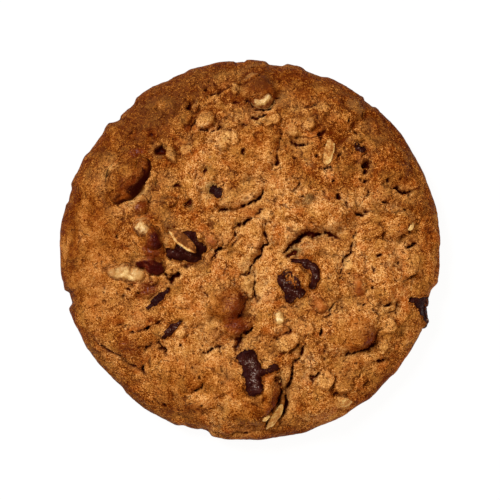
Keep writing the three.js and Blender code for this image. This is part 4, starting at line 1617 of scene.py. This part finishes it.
def flake(place, half, turn, tilt, lift, seed):
    """One oat flake, a thin, slightly cupped oval with an uneven edge: points, faces, lower edge."""
    polar, around, faces = ball(*FLAKE_BALL)
    length, width = half[0] * UNIT, half[1] * UNIT
    uneven = 1 + layered_noise(2 * np.cos(around) + 9 * seed, 2 * np.sin(around), FLAKE_EDGE_NOISE)
    a = length * uneven * np.sin(polar) * np.cos(around)
    b = width * uneven * np.sin(polar) * np.sin(around)
    up = 0.5 * FLAKE_THICKNESS * np.sign(np.cos(polar)) * np.abs(np.cos(polar)) ** FLAKE_BLUNTNESS
    up = up - FLAKE_CUP * (a / length) ** 2 + layered_noise(a + 20 * seed, 2.5 * b, FLAKE_FACE_NOISE)
    tipped = math.radians(tilt)
    b, up = b * math.cos(tipped) - up * math.sin(tipped), b * math.sin(tipped) + up * math.cos(tipped)
    cos, sin = math.cos(math.radians(turn)), math.sin(math.radians(turn))
    centre = on_map(place)
    x, y = centre[0] + a * cos - b * sin, centre[1] + a * sin + b * cos
    level = float(sample(ground, *centre)) + lift
    lower_edge = np.sin(polar) * smoothstep(-np.sin(around), *FLAKE_LOWER_SIDE)
    return crust_point(x, y, level + up), faces, lower_edge


def build_flakes():
    points, faces, tones = [], [], []
    count = 0
    for seed, (place, half, turn, tilt, lift, browning) in enumerate(FLAKES):
        made, sides, edge = flake(place, half, turn, tilt, lift, seed)
        points.append(made)
        faces += shifted(sides, count)
        tone = np.zeros((len(made), 4))
        tone[:, 0] = browning - rising(edge, *FLAKE_EDGE_PALENESS)
        tones.append(tone)
        count += len(made)
    piece = add_object("oat_flakes", np.vstack(points), faces, OAT)
    set_attribute(piece, "crust", np.vstack(tones))


def build_crumbs():
    random = np.random.default_rng(CRUMBS["seed"])
    count = CRUMBS["count"]
    polar, around, sides = ball(*CRUMB_BALL)
    grain = np.column_stack((np.sin(polar) * np.cos(around), np.sin(polar) * np.sin(around), np.cos(polar)))
    reach = CRUMBS["spread"] * CRUST_LENGTH * np.sqrt(random.uniform(size=count))
    angle = random.uniform(0, 2 * np.pi, count)
    x, y = reach * np.cos(angle), reach * np.sin(angle)
    radius = mix(*CRUMBS["radius"], random.uniform(size=count) ** CRUMBS["small"])
    off_pieces = sample(surface - height, x, y) < BARE_DOUGH
    x, y, radius = x[off_pieces], y[off_pieces], radius[off_pieces]
    count = len(radius)
    centre = crust_point(x, y, sample(surface, x, y) - CRUMBS["sink"] * radius)
    shape = grain * radius[:, None, None] * random.uniform(*CRUMBS["uneven"], (count, *grain.shape))
    faces = []
    for crumb in range(count):
        faces += shifted(sides, crumb * len(grain))
    tones = np.zeros((count, len(grain), 4))
    tones[:, :, 0] = (sample(toast_and_shade, x, y) + random.uniform(*CRUMBS["tones"], count))[:, None]
    tones[:, :, 2] = sample(red, x, y)[:, None]
    piece = add_object("crumbs", (centre[:, None] + shape).reshape(-1, 3), faces, DOUGH)
    set_attribute(piece, "crust", tones)
    set_attribute(piece, "detail", np.ones_like(tones))


def set_look(node, look):
    for name, value in look.items():
        node.inputs[name].default_value = value


def build_stage():
    corners = [(x * FLOOR_HALF, y * FLOOR_HALF, 0) for x, y in ((-1, -1), (1, -1), (1, 1), (-1, 1))]
    mesh = bpy.data.meshes.new("floor")
    mesh.from_pydata(corners, [], [(0, 1, 2, 3)])
    material = bpy.data.materials.new("pale_floor")
    material.use_nodes = True
    set_look(material.node_tree.nodes["Principled BSDF"], FLOOR_LOOK)
    mesh.materials.append(material)
    floor = bpy.data.objects.new("floor", mesh)
    bpy.context.scene.collection.objects.link(floor)
    floor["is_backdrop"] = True


def add_light(name, direction, distance, power, colour):
    """A soft square light, facing the cookie from a direction."""
    light = bpy.data.lights.new(name, "AREA")
    light.color = colour
    light.size = LIGHT_SIZE
    light.energy = power
    lamp = bpy.data.objects.new(name, light)
    away = np.array(direction) / np.linalg.norm(direction)
    lamp.location = tuple(away * distance)
    lamp.rotation_mode = "QUATERNION"
    lamp.rotation_quaternion = lamp.location.to_track_quat("Z", "Y")
    bpy.context.scene.collection.objects.link(lamp)


def build_view():
    scene = bpy.context.scene
    scene.view_settings.view_transform = "Standard"
    world = bpy.data.worlds.new("studio")
    world.use_nodes = True
    set_look(world.node_tree.nodes["Background"], AIR_LOOK)
    scene.world = world
    for name, light in LIGHTS.items():
        add_light(name, **light)
    data = bpy.data.cameras.new("camera")
    data.lens = LENS
    data.sensor_width = SENSOR
    data.clip_start, data.clip_end = CLIP
    camera = bpy.data.objects.new("camera", data)
    camera.location = (0, 0, (BELLY_HEIGHT + VIEW_WIDTH * LENS / SENSOR) * METRE)
    scene.collection.objects.link(camera)
    scene.camera = camera


build_dough()
build_pieces()
build_flakes()
build_crumbs()
build_stage()
build_view()

[[list(corner) for corner in box] for box in (START_BOUNDS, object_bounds())]
